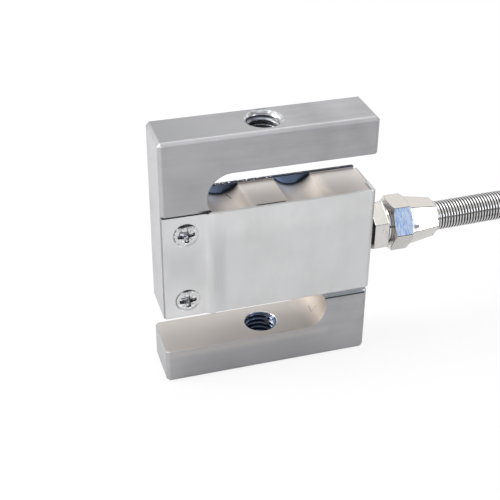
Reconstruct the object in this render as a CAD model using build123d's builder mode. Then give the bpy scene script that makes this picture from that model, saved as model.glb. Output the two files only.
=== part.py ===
"""S type load cell with bolted side covers, a cable gland and a tied hank of signal cable.

Origin on the bottom face, on the axis of the lower load thread. X points to the cable side,
Y to the back, Z up. Millimetres.
"""
import os
from math import cos, pi, radians, sin, sqrt, tan

from build123d import *

os.makedirs("parts", exist_ok=True)

# Body block
body_width = 50.8
body_height = 64.0
body_depth = 12.7
edge_chamfer = 0.8
arm_height = 9.0
slot_height = 9.6
bore_spacing = 17.8
relief_radius = 5.85
half_depth = body_depth / 2
mid_height = body_height / 2
end_face = body_width / 2
bore_x = bore_spacing / 2
lower_slot_bottom = arm_height
upper_slot_top = body_height - arm_height
block_bottom = lower_slot_bottom + slot_height
block_top = upper_slot_top - slot_height
lower_relief_z = lower_slot_bottom + relief_radius
upper_relief_z = upper_slot_top - relief_radius

# Gauge cavity: two bores that leave a thin wall under the relief bores
gauge_wall = 2.7
waist_share = 0.35
gauge_bore_radius = mid_height - lower_relief_z - relief_radius - gauge_wall
waist_height = 2 * gauge_bore_radius * waist_share

# Load threads M8, cut through the arms
thread_radius = 4.0
thread_mouth = 4.6
thread_mouth_depth = 0.5
thread_inner_mouth = 4.2

# Covers and their seats
sheet = 0.8
seat_drop = 1.2
seat_rise = 0.65
flange_rise = 0.3
flange_inset = 0.3
flange_length = 9.6
joggle_length = 2.1
joggle_shift = 0.35
plate_rise = 0.6
plate_raise = 0.75
cover_raise = 0.25
cover_lift = 1.0
return_gap = 2.05
return_drop = 0.35
bend_outer = 1.3
bend_inner = 0.5
joggle_radius = 0.8
return_notch = 4.0
seat_bottom = block_bottom - seat_drop
seat_top = block_top + seat_rise
cover_bottom = block_bottom + cover_raise
cover_top = block_top + plate_rise
flange_top = block_top + flange_rise
plate_bottom = block_bottom + plate_raise
cover_left = flange_inset - end_face
flange_end = cover_left + flange_length
joggle_end = flange_end + joggle_length
return_end = -return_gap
return_top = cover_top - return_drop
block_face = half_depth - sheet
plate_outer = half_depth + cover_lift
seat_end = end_face - sheet

# Cover screws M3, raised countersunk
screw_inset = 5.35
screw_margin = 4.6
screw_radius = 1.5
sink_radius = 3.05
head_radius = 2.85
head_crown = 0.35
screw_back_wall = 1.15
recess_length = 3.2
recess_width = 0.75
recess_depth = 1.1
recess_turn = 12.0
screw_x = cover_left + screw_inset
screw_offset = (block_top - block_bottom) / 2 - screw_margin
screw_length = half_depth - screw_back_wall
sink_depth = sink_radius - screw_radius
head_sunk = sink_radius - head_radius

# Gauges, board and wiring inside the cavity
gauge_thickness = 0.2
gauge_length = 6.0
gauge_width = 5.0
board_reach = 5.1
board_thickness = 1.0
resistor_length = 3.2
resistor_height = 1.6
resistor_thickness = 0.6
resistor_x = 3.0
lead_radius = 0.25
lead_board_inset = 1.0
lead_gauge_inset = 1.3
core_radius = 0.42
core_pitch_cable = 1.0
core_pitch_board = 1.5
seal_thickness = 1.0
waist_land = bore_x - sqrt(gauge_bore_radius**2 - (waist_height / 2) ** 2)
board_length = 2 * (waist_land + board_reach)
# Cable gland, on the X axis at mid height
shank_radius = 3.7
shank_inset = 1.5
washer_thickness = 1.2
washer_radius = 4.75
gland_hex_radius = 6.4
gland_hex_length = 3.7
neck_radius = 4.7
neck_length = 4.7
gland_bore = 2.7
mouth_radius = 3.9
mouth_depth = 2.4
grommet_length = 4.0
ring_thickness = 0.8
ring_radius = 4.4
nut_gap = 1.4
nut_hex_length = 4.8
nut_hex_radius = 6.8
nut_chamfer_share = 0.6
taper_length = 7.3
taper_start_radius = 6.0
taper_end_radius = 4.75
tip_length = 0.6
tip_radius = 3.9
shank_start = bore_x + gauge_bore_radius + shank_inset
hex_start = end_face + washer_thickness
hex_end = hex_start + gland_hex_length
neck_end = hex_end + neck_length
mouth_start = neck_end - mouth_depth
grommet_end = mouth_start + grommet_length
ring_end = grommet_end + ring_thickness
nut_start = hex_end + nut_gap
nut_hex_end = nut_start + nut_hex_length
taper_end = nut_hex_end + taper_length
tip_end = taper_end + tip_length

# Cable, its spring sleeve and the hank
cable_radius = 2.5
cable_inset = 2.0
spring_outer = 3.6
spring_inner = 2.85
spring_length = 44.6
cable_start = bore_x + gauge_bore_radius - cable_inset
spring_end = ring_end + spring_length
hank_turn_radius = 17.5
hank_width = 10.0
hank_height = 19.5
hank_corner = 2.3
hank_straight = 55.0
hank_lift = 0.1
hank_clear = 31.0
hank_x = spring_end + hank_clear
hank_y = -hank_turn_radius
hank_middle = hank_x + hank_straight / 2
top_turn_fillet = 2.4
first_run = 15.0
drop_angle = 30.0
landing_z = hank_height + cable_radius + hank_lift
drop_run = (mid_height - landing_z) / sin(radians(drop_angle))
drop_end = spring_end + first_run + drop_run * cos(radians(drop_angle))
landing_x = drop_end + first_run

# Free end of the cable
tail_stub = 15.0
tail_run = 16.0
tail_z = 3.0
tail_y = hank_y - hank_turn_radius - hank_width / 2 + cable_radius
sleeve_thickness = 0.5
sleeve_length = 10.0
sleeve_past = 2.0
wire_radius = 0.65
wire_spread = 1.35
wire_straight = 7.0
wire_run = 15.0
wire_fan = 12.0
wire_end_z = 1.6
tip_wire_radius = 0.4
tip_wire_length = 5.0
drain_radius = 0.45

# Cable ties
tie_thickness = 1.2
tie_width = 4.0
tie_corner = 2.8
tie_outer_height = 27.0
tie_head_length = 5.5
tie_head_depth = 4.0
tie_head_sunk = 0.4
tie_near_x = hank_x + 15.0
tie_far_x = hank_x + 39.0


def save(part, name):
    """Write one piece as a STEP file that carries its name."""
    part.label = name
    export_step(part, f"parts/{name}.step")


def turn_radius(points, index):
    """Largest allowed bend at a point of a route: 0.45 of the shorter run over tan of half the turn."""
    before = Vector(*points[index]) - Vector(*points[index - 1])
    after = Vector(*points[index + 1]) - Vector(*points[index])
    turn = before.get_angle(after)
    radius = 0.45 * min(before.length, after.length) / tan(radians(turn / 2))
    print(f"turn {turn:.1f} degrees, radius {radius:.1f} mm")
    return radius


# One piece body: two arms, two slots, relief bores and the gauge cavity
with BuildPart() as s_body:
    with Locations((0, 0, mid_height)):
        Box(body_width, body_depth, body_height)
    chamfer(s_body.edges(), edge_chamfer)
    with BuildSketch(Plane.XZ) as openings:
        slot_run = end_face + bore_x + 1
        slot_middle = (end_face + 1 - bore_x) / 2
        with Locations((slot_middle, upper_slot_top - slot_height / 2)):
            Rectangle(slot_run, slot_height)
        with Locations((-slot_middle, lower_slot_bottom + slot_height / 2)):
            Rectangle(slot_run, slot_height)
        with Locations((-bore_x, upper_relief_z), (bore_x, upper_relief_z)):
            Circle(relief_radius)
        with Locations((-bore_x, lower_relief_z), (bore_x, lower_relief_z)):
            Circle(relief_radius)
        with Locations((-bore_x, mid_height), (bore_x, mid_height)):
            Circle(gauge_bore_radius)
        with Locations((0, mid_height)):
            Rectangle(bore_spacing, waist_height)
    extrude(amount=body_depth, both=True, mode=Mode.SUBTRACT)
    # Seats that take the sheet of the covers, front, back and cable end
    seat_middle = (seat_top + seat_bottom) / 2
    with Locations((0, -half_depth, seat_middle), (0, half_depth, seat_middle)):
        Box(body_width + 2, 2 * sheet, seat_top - seat_bottom, mode=Mode.SUBTRACT)
    with Locations((end_face, return_end, seat_middle)):
        Box(
            2 * sheet,
            body_depth,
            seat_top - seat_bottom,
            align=(Align.CENTER, Align.MAX, Align.CENTER),
            mode=Mode.SUBTRACT,
        )
    # Hole for the gland shank, from the cable end into the cavity
    with BuildSketch(Plane.YZ.offset(bore_x)):
        with Locations((0, mid_height)):
            Circle(shank_radius)
    extrude(amount=end_face, mode=Mode.SUBTRACT)
    # Load threads with a wide outer mouth and a small inner one
    with BuildSketch(Plane.XZ):
        with BuildLine():
            Polyline(
                (0, -1),
                (thread_mouth, -1),
                (thread_mouth, 0),
                (thread_radius, thread_mouth_depth),
                (thread_radius, arm_height - thread_inner_mouth + thread_radius),
                (thread_inner_mouth + 1, arm_height + 1),
                (0, arm_height + 1),
                close=True,
            )
        make_face()
    revolve(axis=Axis.Z, mode=Mode.SUBTRACT)
    with BuildSketch(Plane.XZ):
        with BuildLine():
            Polyline(
                (0, body_height + 1),
                (thread_mouth, body_height + 1),
                (thread_mouth, body_height),
                (thread_radius, body_height - thread_mouth_depth),
                (thread_radius, upper_slot_top + thread_inner_mouth - thread_radius),
                (thread_inner_mouth + 1, upper_slot_top - 1),
                (0, upper_slot_top - 1),
                close=True,
            )
        make_face()
    revolve(axis=Axis.Z, mode=Mode.SUBTRACT)
    # Countersunk blind holes for the cover screws, front and back
    for side in (-1, 1):
        for level in (mid_height - screw_offset, mid_height + screw_offset):
            mouth = Plane(origin=(screw_x, side * half_depth, level), z_dir=(0, -side, 0))
            with BuildSketch(mouth):
                Circle(screw_radius)
            extrude(amount=screw_length, mode=Mode.SUBTRACT)
            with Locations(mouth):
                Cone(
                    sink_radius,
                    screw_radius,
                    sink_depth,
                    align=(Align.CENTER, Align.CENTER, Align.MIN),
                    mode=Mode.SUBTRACT,
                )
save(s_body.part, "s_body")

# Front cover: flange, joggle, raised plate and the return round the cable end
with BuildPart() as front_cover:
    with BuildSketch(Plane.XY.offset(cover_bottom)) as cover_section:
        with BuildLine():
            Polyline(
                (cover_left, -half_depth),
                (flange_end, -half_depth),
                (joggle_end, -plate_outer),
                (end_face, -plate_outer),
                (end_face, return_end),
                (seat_end, return_end),
                (seat_end, sheet - plate_outer),
                (joggle_end + joggle_shift, sheet - plate_outer),
                (flange_end + joggle_shift, -block_face),
                (cover_left, -block_face),
                close=True,
            )
        make_face()
        corners = cover_section.vertices()
        fillet(corners.sort_by_distance((end_face, -plate_outer, cover_bottom))[0], bend_outer)
        corners = cover_section.vertices()
        fillet(corners.sort_by_distance((seat_end, sheet - plate_outer, cover_bottom))[0], bend_inner)
        for corner_x, corner_y in (
            (flange_end, -half_depth),
            (joggle_end, -plate_outer),
            (joggle_end + joggle_shift, sheet - plate_outer),
            (flange_end + joggle_shift, -block_face),
        ):
            corners = cover_section.vertices()
            fillet(corners.sort_by_distance((corner_x, corner_y, cover_bottom))[0], joggle_radius)
    extrude(amount=cover_top - cover_bottom)
    # The flange stops lower than the plate at the top, and the plate higher at the bottom
    with Locations((flange_end - flange_length, -half_depth, cover_top)):
        trim = cover_top - flange_top
        Box(2 * flange_length + joggle_length, body_depth / 2, 2 * trim, mode=Mode.SUBTRACT)
    with Locations((joggle_end, -plate_outer, cover_bottom)):
        Box(
            body_width,
            2 * body_depth,
            2 * (plate_bottom - cover_bottom),
            align=(Align.MIN, Align.CENTER, Align.CENTER),
            mode=Mode.SUBTRACT,
        )
    # The return round the cable end stops lower still
    with Locations((seat_end, sheet - plate_outer, return_top)):
        Box(
            2 * sheet,
            body_depth,
            body_depth,
            align=(Align.MIN, Align.MIN, Align.MIN),
            mode=Mode.SUBTRACT,
        )
    with BuildSketch(Plane.YZ.offset(seat_end - 1)):
        with Locations((0, mid_height)):
            Circle(return_notch)
    extrude(amount=sheet + 2, mode=Mode.SUBTRACT)
    for level in (mid_height - screw_offset, mid_height + screw_offset):
        with Locations(Plane(origin=(screw_x, -half_depth, level), z_dir=(0, 1, 0))):
            Cone(
                sink_radius,
                screw_radius,
                sink_depth,
                align=(Align.CENTER, Align.CENTER, Align.MIN),
                mode=Mode.SUBTRACT,
            )
save(front_cover.part, "front_cover")

# Rear cover: a flat sheet flush with the body
with BuildPart() as rear_cover:
    with Locations((cover_left, half_depth, cover_bottom)):
        Box(
            seat_end - cover_left,
            sheet,
            cover_top - cover_bottom,
            align=(Align.MIN, Align.MAX, Align.MIN),
        )
    for level in (mid_height - screw_offset, mid_height + screw_offset):
        with Locations(Plane(origin=(screw_x, half_depth, level), z_dir=(0, -1, 0))):
            Cone(
                sink_radius,
                screw_radius,
                sink_depth,
                align=(Align.CENTER, Align.CENTER, Align.MIN),
                mode=Mode.SUBTRACT,
            )
save(rear_cover.part, "rear_cover")

# Cover screws: shank, cone, low crown and a cross recess
for level, place in ((mid_height + screw_offset, "upper"), (mid_height - screw_offset, "lower")):
    origin = (screw_x, -half_depth, level)
    with BuildPart() as screw:
        with BuildSketch(Plane(origin=origin, x_dir=(1, 0, 0), z_dir=(0, 0, -1))):
            with BuildLine():
                crown_middle = head_radius / 2
                crown_sphere = (head_radius**2 + (head_crown + head_sunk) ** 2) / (2 * (head_crown + head_sunk))
                crown_drop = crown_sphere - sqrt(crown_sphere**2 - crown_middle**2)
                Polyline(
                    (0, head_crown),
                    (0, -screw_length),
                    (screw_radius, -screw_length),
                    (screw_radius, -sink_depth),
                    (head_radius, -head_sunk),
                )
                ThreePointArc((head_radius, -head_sunk), (crown_middle, head_crown - crown_drop), (0, head_crown))
            make_face()
        revolve(axis=Axis(origin, (0, -1, 0)))
        recess_plane = Plane(origin=(screw_x, -half_depth - head_crown, level), z_dir=(0, 1, 0))
        with BuildSketch(recess_plane):
            Rectangle(recess_length, recess_width, rotation=recess_turn)
            Rectangle(recess_width, recess_length, rotation=recess_turn)
        extrude(amount=recess_depth, taper=12, mode=Mode.SUBTRACT)
    save(screw.part, f"front_cover_screw_{place}")
    with BuildPart() as rear_screw:
        mirror(screw.part, about=Plane.XZ)
    save(rear_screw.part, f"rear_cover_screw_{place}")

# Terminal board, held in the waist between the two gauge bores
with BuildPart() as terminal_board:
    with Locations((0, 0, mid_height)):
        Box(board_length, board_thickness, waist_height)
save(terminal_board.part, "terminal_board")

for resistor_side, resistor_name in ((-1, "trim_resistor_left"), (1, "trim_resistor_right")):
    with BuildPart() as trim_resistor:
        resistor_y = -(board_thickness + resistor_thickness) / 2
        with Locations((resistor_side * resistor_x, resistor_y, mid_height)):
            Box(resistor_length, resistor_thickness, resistor_height)
    save(trim_resistor.part, resistor_name)

# Four foil gauges on the thin walls, each with its lead to the board
for gauge_side, side_name in ((-1, "left"), (1, "right")):
    for gauge_level, level_name in ((1, "upper"), (-1, "lower")):
        with BuildPart() as strain_gauge:
            with BuildSketch(Plane.XZ):
                with Locations((gauge_side * bore_x, mid_height)):
                    Circle(gauge_bore_radius)
                    Circle(gauge_bore_radius - gauge_thickness, mode=Mode.SUBTRACT)
                with Locations((gauge_side * bore_x, mid_height + gauge_level * gauge_bore_radius)):
                    Rectangle(gauge_length, gauge_bore_radius, mode=Mode.INTERSECT)
            extrude(amount=gauge_width / 2, both=True)
        save(strain_gauge.part, f"strain_gauge_{level_name}_{side_name}")
        lead_board_x = gauge_side * (board_length / 2 - lead_board_inset)
        lead_gauge_x = gauge_side * (bore_x - lead_gauge_inset)
        board_end = Vector(lead_board_x, 0, mid_height + gauge_level * (waist_height / 2 - 0.5))
        gauge_end = Vector(lead_gauge_x, 0, mid_height + gauge_level * gauge_bore_radius)
        lead_path = gauge_end - board_end
        with BuildPart() as gauge_lead:
            with BuildSketch(Plane(origin=board_end, z_dir=lead_path)):
                Circle(lead_radius)
            extrude(amount=lead_path.length)
            with BuildSketch(Plane.XZ):
                with Locations((gauge_side * bore_x, mid_height)):
                    Circle(gauge_bore_radius - gauge_thickness)
            extrude(amount=gauge_width, both=True, mode=Mode.INTERSECT)
            add(terminal_board.part, mode=Mode.SUBTRACT)
        save(gauge_lead.part, f"gauge_lead_{level_name}_{side_name}")

# Soft seals that close the cavity flush with the seats
for seal_side, seal_name in ((-1, "front_cavity_seal"), (1, "rear_cavity_seal")):
    with BuildPart() as cavity_seal:
        with BuildSketch(Plane.XZ.offset(-seal_side * (block_face - seal_thickness / 2))):
            with Locations((-bore_x, mid_height), (bore_x, mid_height)):
                Circle(gauge_bore_radius)
            with Locations((0, mid_height)):
                Rectangle(bore_spacing, waist_height)
        extrude(amount=seal_thickness / 2, both=True)
    save(cavity_seal.part, seal_name)

# Cable cores inside the cavity, from the cable's end to the edge of the board
for core_index, core_name in enumerate(("red", "green", "white", "black")):
    step = core_index - 1.5
    board_point = Vector(board_length / 2 - 0.5, 0, mid_height + step * core_pitch_board)
    cable_point = Vector(cable_start + 0.5, 0, mid_height + step * core_pitch_cable)
    core_path = cable_point - board_point
    with BuildPart() as inner_core:
        with BuildSketch(Plane(origin=board_point, z_dir=core_path)):
            Circle(core_radius)
        extrude(amount=core_path.length)
        core_middle = (cable_start + board_length / 2) / 2
        with Locations((core_middle, 0, mid_height)):
            Box(cable_start - board_length / 2, body_depth, body_height, mode=Mode.INTERSECT)
    save(inner_core.part, f"inner_core_{core_name}")

# Gland: flat washer, body, grommet, clamp ring and nut
with BuildPart() as gland_washer:
    with BuildSketch(Plane.YZ.offset(end_face)):
        with Locations((0, mid_height)):
            Circle(washer_radius)
            Circle(shank_radius, mode=Mode.SUBTRACT)
    extrude(amount=washer_thickness)
save(gland_washer.part, "gland_washer")

with BuildPart() as gland_body:
    with BuildSketch(Plane.YZ.offset(shank_start)):
        with Locations((0, mid_height)):
            Circle(shank_radius)
    extrude(amount=hex_start - shank_start)
    with BuildSketch(Plane.YZ.offset(hex_start)):
        with Locations((0, mid_height)):
            RegularPolygon(gland_hex_radius, 6, rotation=30)
    extrude(amount=gland_hex_length)
    with BuildSketch(Plane.YZ.offset(hex_end)):
        with Locations((0, mid_height)):
            Circle(neck_radius)
    extrude(amount=neck_end - hex_end)
    with BuildSketch(Plane.YZ.offset(shank_start)):
        with Locations((0, mid_height)):
            Circle(gland_bore)
    extrude(amount=neck_end - shank_start, mode=Mode.SUBTRACT)
    with BuildSketch(Plane.YZ.offset(mouth_start)):
        with Locations((0, mid_height)):
            Circle(mouth_radius)
    extrude(amount=neck_end - mouth_start, mode=Mode.SUBTRACT)
save(gland_body.part, "gland_body")

with BuildPart() as cable_grommet:
    with BuildSketch(Plane.YZ.offset(mouth_start)):
        with Locations((0, mid_height)):
            Circle(mouth_radius)
            Circle(cable_radius, mode=Mode.SUBTRACT)
    extrude(amount=grommet_end - mouth_start)
save(cable_grommet.part, "cable_grommet")

with BuildPart() as clamp_ring:
    with BuildSketch(Plane.YZ.offset(grommet_end)):
        with Locations((0, mid_height)):
            Circle(ring_radius)
            Circle(gland_bore, mode=Mode.SUBTRACT)
    extrude(amount=ring_thickness)
save(clamp_ring.part, "clamp_ring")

with BuildPart() as gland_nut:
    with BuildSketch(Plane.YZ.offset(nut_start)):
        with Locations((0, mid_height)):
            RegularPolygon(nut_hex_radius, 6)
    extrude(amount=nut_hex_end - nut_start)
    # Turned chamfer on both ends of the hexagon
    nut_flat = nut_hex_radius * cos(radians(30))
    nut_chamfer = nut_hex_radius - nut_flat
    with BuildSketch(Plane.XZ):
        with BuildLine():
            Polyline(
                (nut_start, mid_height),
                (nut_start, mid_height + nut_flat + 0.1),
                (nut_start + nut_chamfer * nut_chamfer_share, mid_height + nut_hex_radius + 0.1),
                (nut_hex_end - nut_chamfer * nut_chamfer_share, mid_height + nut_hex_radius + 0.1),
                (nut_hex_end, mid_height + nut_flat + 0.1),
                (nut_hex_end, mid_height),
                close=True,
            )
        make_face()
    revolve(axis=Axis((0, 0, mid_height), (1, 0, 0)), mode=Mode.INTERSECT)
    # Six-sided taper down to the spring, and a short round tip
    with BuildSketch(Plane.YZ.offset(nut_hex_end)):
        with Locations((0, mid_height)):
            RegularPolygon(taper_start_radius, 6)
    with BuildSketch(Plane.YZ.offset(taper_end)):
        with Locations((0, mid_height)):
            RegularPolygon(taper_end_radius, 6)
    loft()
    with BuildSketch(Plane.YZ.offset(taper_end)):
        with Locations((0, mid_height)):
            Circle(tip_radius)
    extrude(amount=tip_length)
    with BuildSketch(Plane.YZ.offset(nut_start)):
        with Locations((0, mid_height)):
            Circle(spring_outer)
    extrude(amount=tip_end - nut_start, mode=Mode.SUBTRACT)
    with BuildSketch(Plane.YZ.offset(nut_start)):
        with Locations((0, mid_height)):
            Circle(neck_radius)
    extrude(amount=ring_end - nut_start, mode=Mode.SUBTRACT)
save(gland_nut.part, "gland_nut")

# Spring sleeve round the cable, left as a plain tube
with BuildPart() as strain_relief_spring:
    with BuildSketch(Plane.YZ.offset(ring_end)):
        with Locations((0, mid_height)):
            Circle(spring_outer)
            Circle(spring_inner, mode=Mode.SUBTRACT)
    extrude(amount=spring_end - ring_end)
save(strain_relief_spring.part, "strain_relief_spring")

# Cable from the cavity to the end of the spring
with BuildPart() as cable_entry:
    with BuildSketch(Plane.YZ.offset(cable_start)):
        with Locations((0, mid_height)):
            Circle(cable_radius)
    extrude(amount=spring_end - cable_start)
save(cable_entry.part, "cable_entry")

# Free stretch of the cable: out of the spring, down and onto the hank
drop_points = [
    (spring_end, 0, mid_height),
    (spring_end + first_run, 0, mid_height),
    (drop_end, 0, landing_z),
    (landing_x, 0, landing_z),
]
with BuildPart() as signal_cable:
    with BuildLine() as drop_route:
        FilletPolyline(*drop_points, radius=turn_radius(drop_points, 1))
    with BuildSketch(Plane(origin=drop_points[0], z_dir=(1, 0, 0))):
        Circle(cable_radius)
    sweep(path=drop_route.wire())
tube_volume = drop_route.wire().length * pi * cable_radius**2
print(f"cable volume over section times length {signal_cable.part.volume / tube_volume:.4f}")
save(signal_cable.part, "signal_cable")

# Ties round the two runs of the hank, with their locking heads on the inside
tie_places = {
    "cable_tie_near": (tie_near_x, hank_y - hank_turn_radius, 1),
    "cable_tie_far": (tie_far_x, hank_y + hank_turn_radius, -1),
}
tie_outer_width = hank_width + 2 * tie_thickness
tie_head_offset = tie_outer_width / 2 + tie_head_depth / 2 - tie_head_sunk
tie_parts = []
for tie_name, (tie_x, run_y, head_side) in tie_places.items():
    with BuildPart() as cable_tie:
        with BuildSketch(Plane.YZ.offset(tie_x)):
            with Locations((run_y, tie_outer_height / 2)):
                RectangleRounded(tie_outer_width, tie_outer_height, tie_corner)
                RectangleRounded(
                    hank_width,
                    tie_outer_height - 2 * tie_thickness,
                    tie_corner - tie_thickness,
                    mode=Mode.SUBTRACT,
                )
        extrude(amount=tie_width / 2, both=True)
        with BuildSketch(Plane.YZ.offset(tie_x)):
            with Locations((run_y + head_side * tie_head_offset, hank_height / 2)):
                Rectangle(tie_head_depth, tie_head_length)
        extrude(amount=tie_width / 2 + 0.5, both=True)
    tie_parts.append(cable_tie.part)
    save(cable_tie.part, tie_name)

# Top turn of the hank: along the rear run, round the far loop and back, open at the near loop
with BuildPart() as top_turn:
    with BuildSketch(Plane.XY.offset(hank_height - cable_radius / 2)):
        with Locations((hank_middle, hank_y)):
            SlotCenterToCenter(hank_straight, 2 * (hank_turn_radius + cable_radius))
            SlotCenterToCenter(hank_straight, 2 * (hank_turn_radius - cable_radius), mode=Mode.SUBTRACT)
        with Locations((hank_x - hank_straight / 2, hank_y)):
            Rectangle(hank_straight, 4 * hank_turn_radius, mode=Mode.SUBTRACT)
        with Locations(((hank_x + landing_x) / 2, 0)):
            Rectangle(landing_x - hank_x, 3 * cable_radius, mode=Mode.SUBTRACT)
    extrude(amount=landing_z + cable_radius - hank_height + cable_radius / 2)
    ridge_edges = top_turn.faces().sort_by(Axis.Z)[-1].edges().filter_by(Axis.Y, reverse=True)
    fillet(ridge_edges, radius=top_turn_fillet)

# Hank: the outer shape of the folded turns, with the stub that leads to the free end
with BuildPart() as cable_hank:
    with BuildSketch():
        with Locations((hank_middle, hank_y)):
            SlotCenterToCenter(hank_straight, 2 * hank_turn_radius + hank_width)
            SlotCenterToCenter(hank_straight, 2 * hank_turn_radius - hank_width, mode=Mode.SUBTRACT)
    extrude(amount=hank_height)
    fillet(cable_hank.edges().filter_by(Axis.Z, reverse=True), radius=hank_corner)
    add(top_turn.part)
    with BuildSketch(Plane.YZ.offset(hank_x - tail_stub)):
        with Locations((tail_y, tail_z)):
            Circle(cable_radius)
    extrude(amount=tail_stub)
    for tie_part in tie_parts:
        add(tie_part, mode=Mode.SUBTRACT)
save(cable_hank.part, "cable_hank")

# Free end: a short tail from the foot of the hank, its sleeve and the bare ends of its wires
tail_start = Vector(hank_x - tail_stub, tail_y, tail_z)
tail_direction = Vector(-1, 0, 0)
tail_end = tail_start + tail_direction * tail_run
with BuildPart() as cable_tail:
    with BuildSketch(Plane(origin=tail_start, z_dir=tail_direction)):
        Circle(cable_radius)
    extrude(amount=tail_run)
save(cable_tail.part, "cable_tail")

sleeve_plane = Plane(origin=tail_end - tail_direction * (sleeve_length - sleeve_past), z_dir=tail_direction)
with BuildPart() as end_sleeve:
    with BuildSketch(sleeve_plane):
        Circle(cable_radius + sleeve_thickness)
        Circle(cable_radius, mode=Mode.SUBTRACT)
    extrude(amount=sleeve_length)
save(end_sleeve.part, "end_sleeve")

up = Vector(0, 0, 1)
side_direction = up.cross(tail_direction)
wire_seats = {
    "red": (-1, 1, -2.5),
    "green": (-1, -1, -1.5),
    "white": (1, -1, -0.5),
    "black": (1, 1, 0.5),
    "drain": (0, 0, -1),
}
for wire_name, (wire_side, wire_level, fan_step) in wire_seats.items():
    radius = drain_radius if wire_name == "drain" else wire_radius
    seat = wire_spread / sqrt(2)
    wire_start = tail_end + side_direction * (wire_side * seat) + up * (wire_level * seat)
    wire_bend = wire_start + tail_direction * wire_straight
    fan_direction = tail_direction.rotate(Axis.Z, fan_step * wire_fan)
    wire_end = wire_bend + fan_direction * wire_run
    wire_end = Vector(wire_end.X, wire_end.Y, wire_end_z)
    wire_points = [wire_start, wire_bend, wire_end]
    with BuildPart() as end_wire:
        with BuildLine() as wire_route:
            FilletPolyline(*wire_points, radius=turn_radius(wire_points, 1))
        with BuildSketch(Plane(origin=wire_route.wire() @ 0, z_dir=wire_route.wire() % 0)):
            Circle(radius)
        sweep(path=wire_route.wire())
        if wire_name != "drain":
            with BuildSketch(Plane(origin=wire_end, z_dir=wire_route.wire() % 1)):
                Circle(tip_wire_radius)
            extrude(amount=tip_wire_length)
    save(end_wire.part, f"end_wire_{wire_name}")
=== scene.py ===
"""Visual model of an S type load cell: dressed solids, threads, spring, cable and studio."""

import logging
import math
from dataclasses import dataclass, replace
from enum import Enum

import bpy
import numpy as np
from mathutils import Matrix, Vector


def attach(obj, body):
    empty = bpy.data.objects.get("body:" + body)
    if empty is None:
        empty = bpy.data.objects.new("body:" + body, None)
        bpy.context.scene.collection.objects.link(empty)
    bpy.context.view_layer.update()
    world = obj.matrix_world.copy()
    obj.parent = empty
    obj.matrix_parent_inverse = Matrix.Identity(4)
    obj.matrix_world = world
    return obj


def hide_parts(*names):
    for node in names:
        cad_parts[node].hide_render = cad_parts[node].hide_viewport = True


MM = 0.001
LOG = logging.getLogger("load_cell")
Array = np.ndarray
Colour = tuple[float, float, float, float]
Point = tuple[float, float, float]
HOLLOW_NAME = "hollow"
EDGE_POLISH = 0.12
METAL_BUMP_DEPTH = 0.00002
SOFT_BUMP_DEPTH = 0.00004
SUBSURFACE_DEPTH = 0.001
SOFT_TINT = 0.85
ARC_AMOUNT = 0.9
MIX_SHARE = 0
MIX_FIRST = 6
MIX_SECOND = 7
MIX_RESULT = 2

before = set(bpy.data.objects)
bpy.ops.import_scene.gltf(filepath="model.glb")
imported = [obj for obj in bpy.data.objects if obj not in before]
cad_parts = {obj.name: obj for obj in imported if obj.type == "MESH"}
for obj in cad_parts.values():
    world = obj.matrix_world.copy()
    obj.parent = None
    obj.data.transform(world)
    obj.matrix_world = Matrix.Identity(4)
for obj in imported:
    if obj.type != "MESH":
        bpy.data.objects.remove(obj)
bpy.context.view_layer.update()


class Slot(Enum):
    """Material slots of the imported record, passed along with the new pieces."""

    BODY = "body_steel"
    FASTENER = "plated_fastener"
    SPRING = "spring_steel"
    JACKET = "cable_jacket"


class Grain(Enum):
    """Lay of the machining marks of a metal, as the stretch of its noise along X, Y and Z."""

    ALONG_X = (0.06, 1.0, 1.0)
    ALONG_Z = (1.0, 1.0, 0.06)
    EVEN = (1.0, 1.0, 1.0)


class Side(Enum):
    """Directions that a surface of the cell can face."""

    FRONT = (0.0, -1.0, 0.0)
    BACK = (0.0, 1.0, 0.0)
    LEFT = (-1.0, 0.0, 0.0)
    TOP = (0.0, 0.0, 1.0)
    HEX_UPPER = (0.0, -0.5, 0.866)
    NUT_UPPER = (0.0, -0.866, 0.5)


class Effect(Enum):
    """Effects that several materials share, by the name of their node group."""

    GRAIN = "metal_grain"
    WEAR_AND_SHEEN = "edge_wear_and_sheen"
    DUST = "settled_dust"
    BOX = "box_mask"
    FACING = "facing_mask"
    STROKE = "stroke_mask"
    SPECK = "speck_mask"


# Shader node helpers


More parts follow.
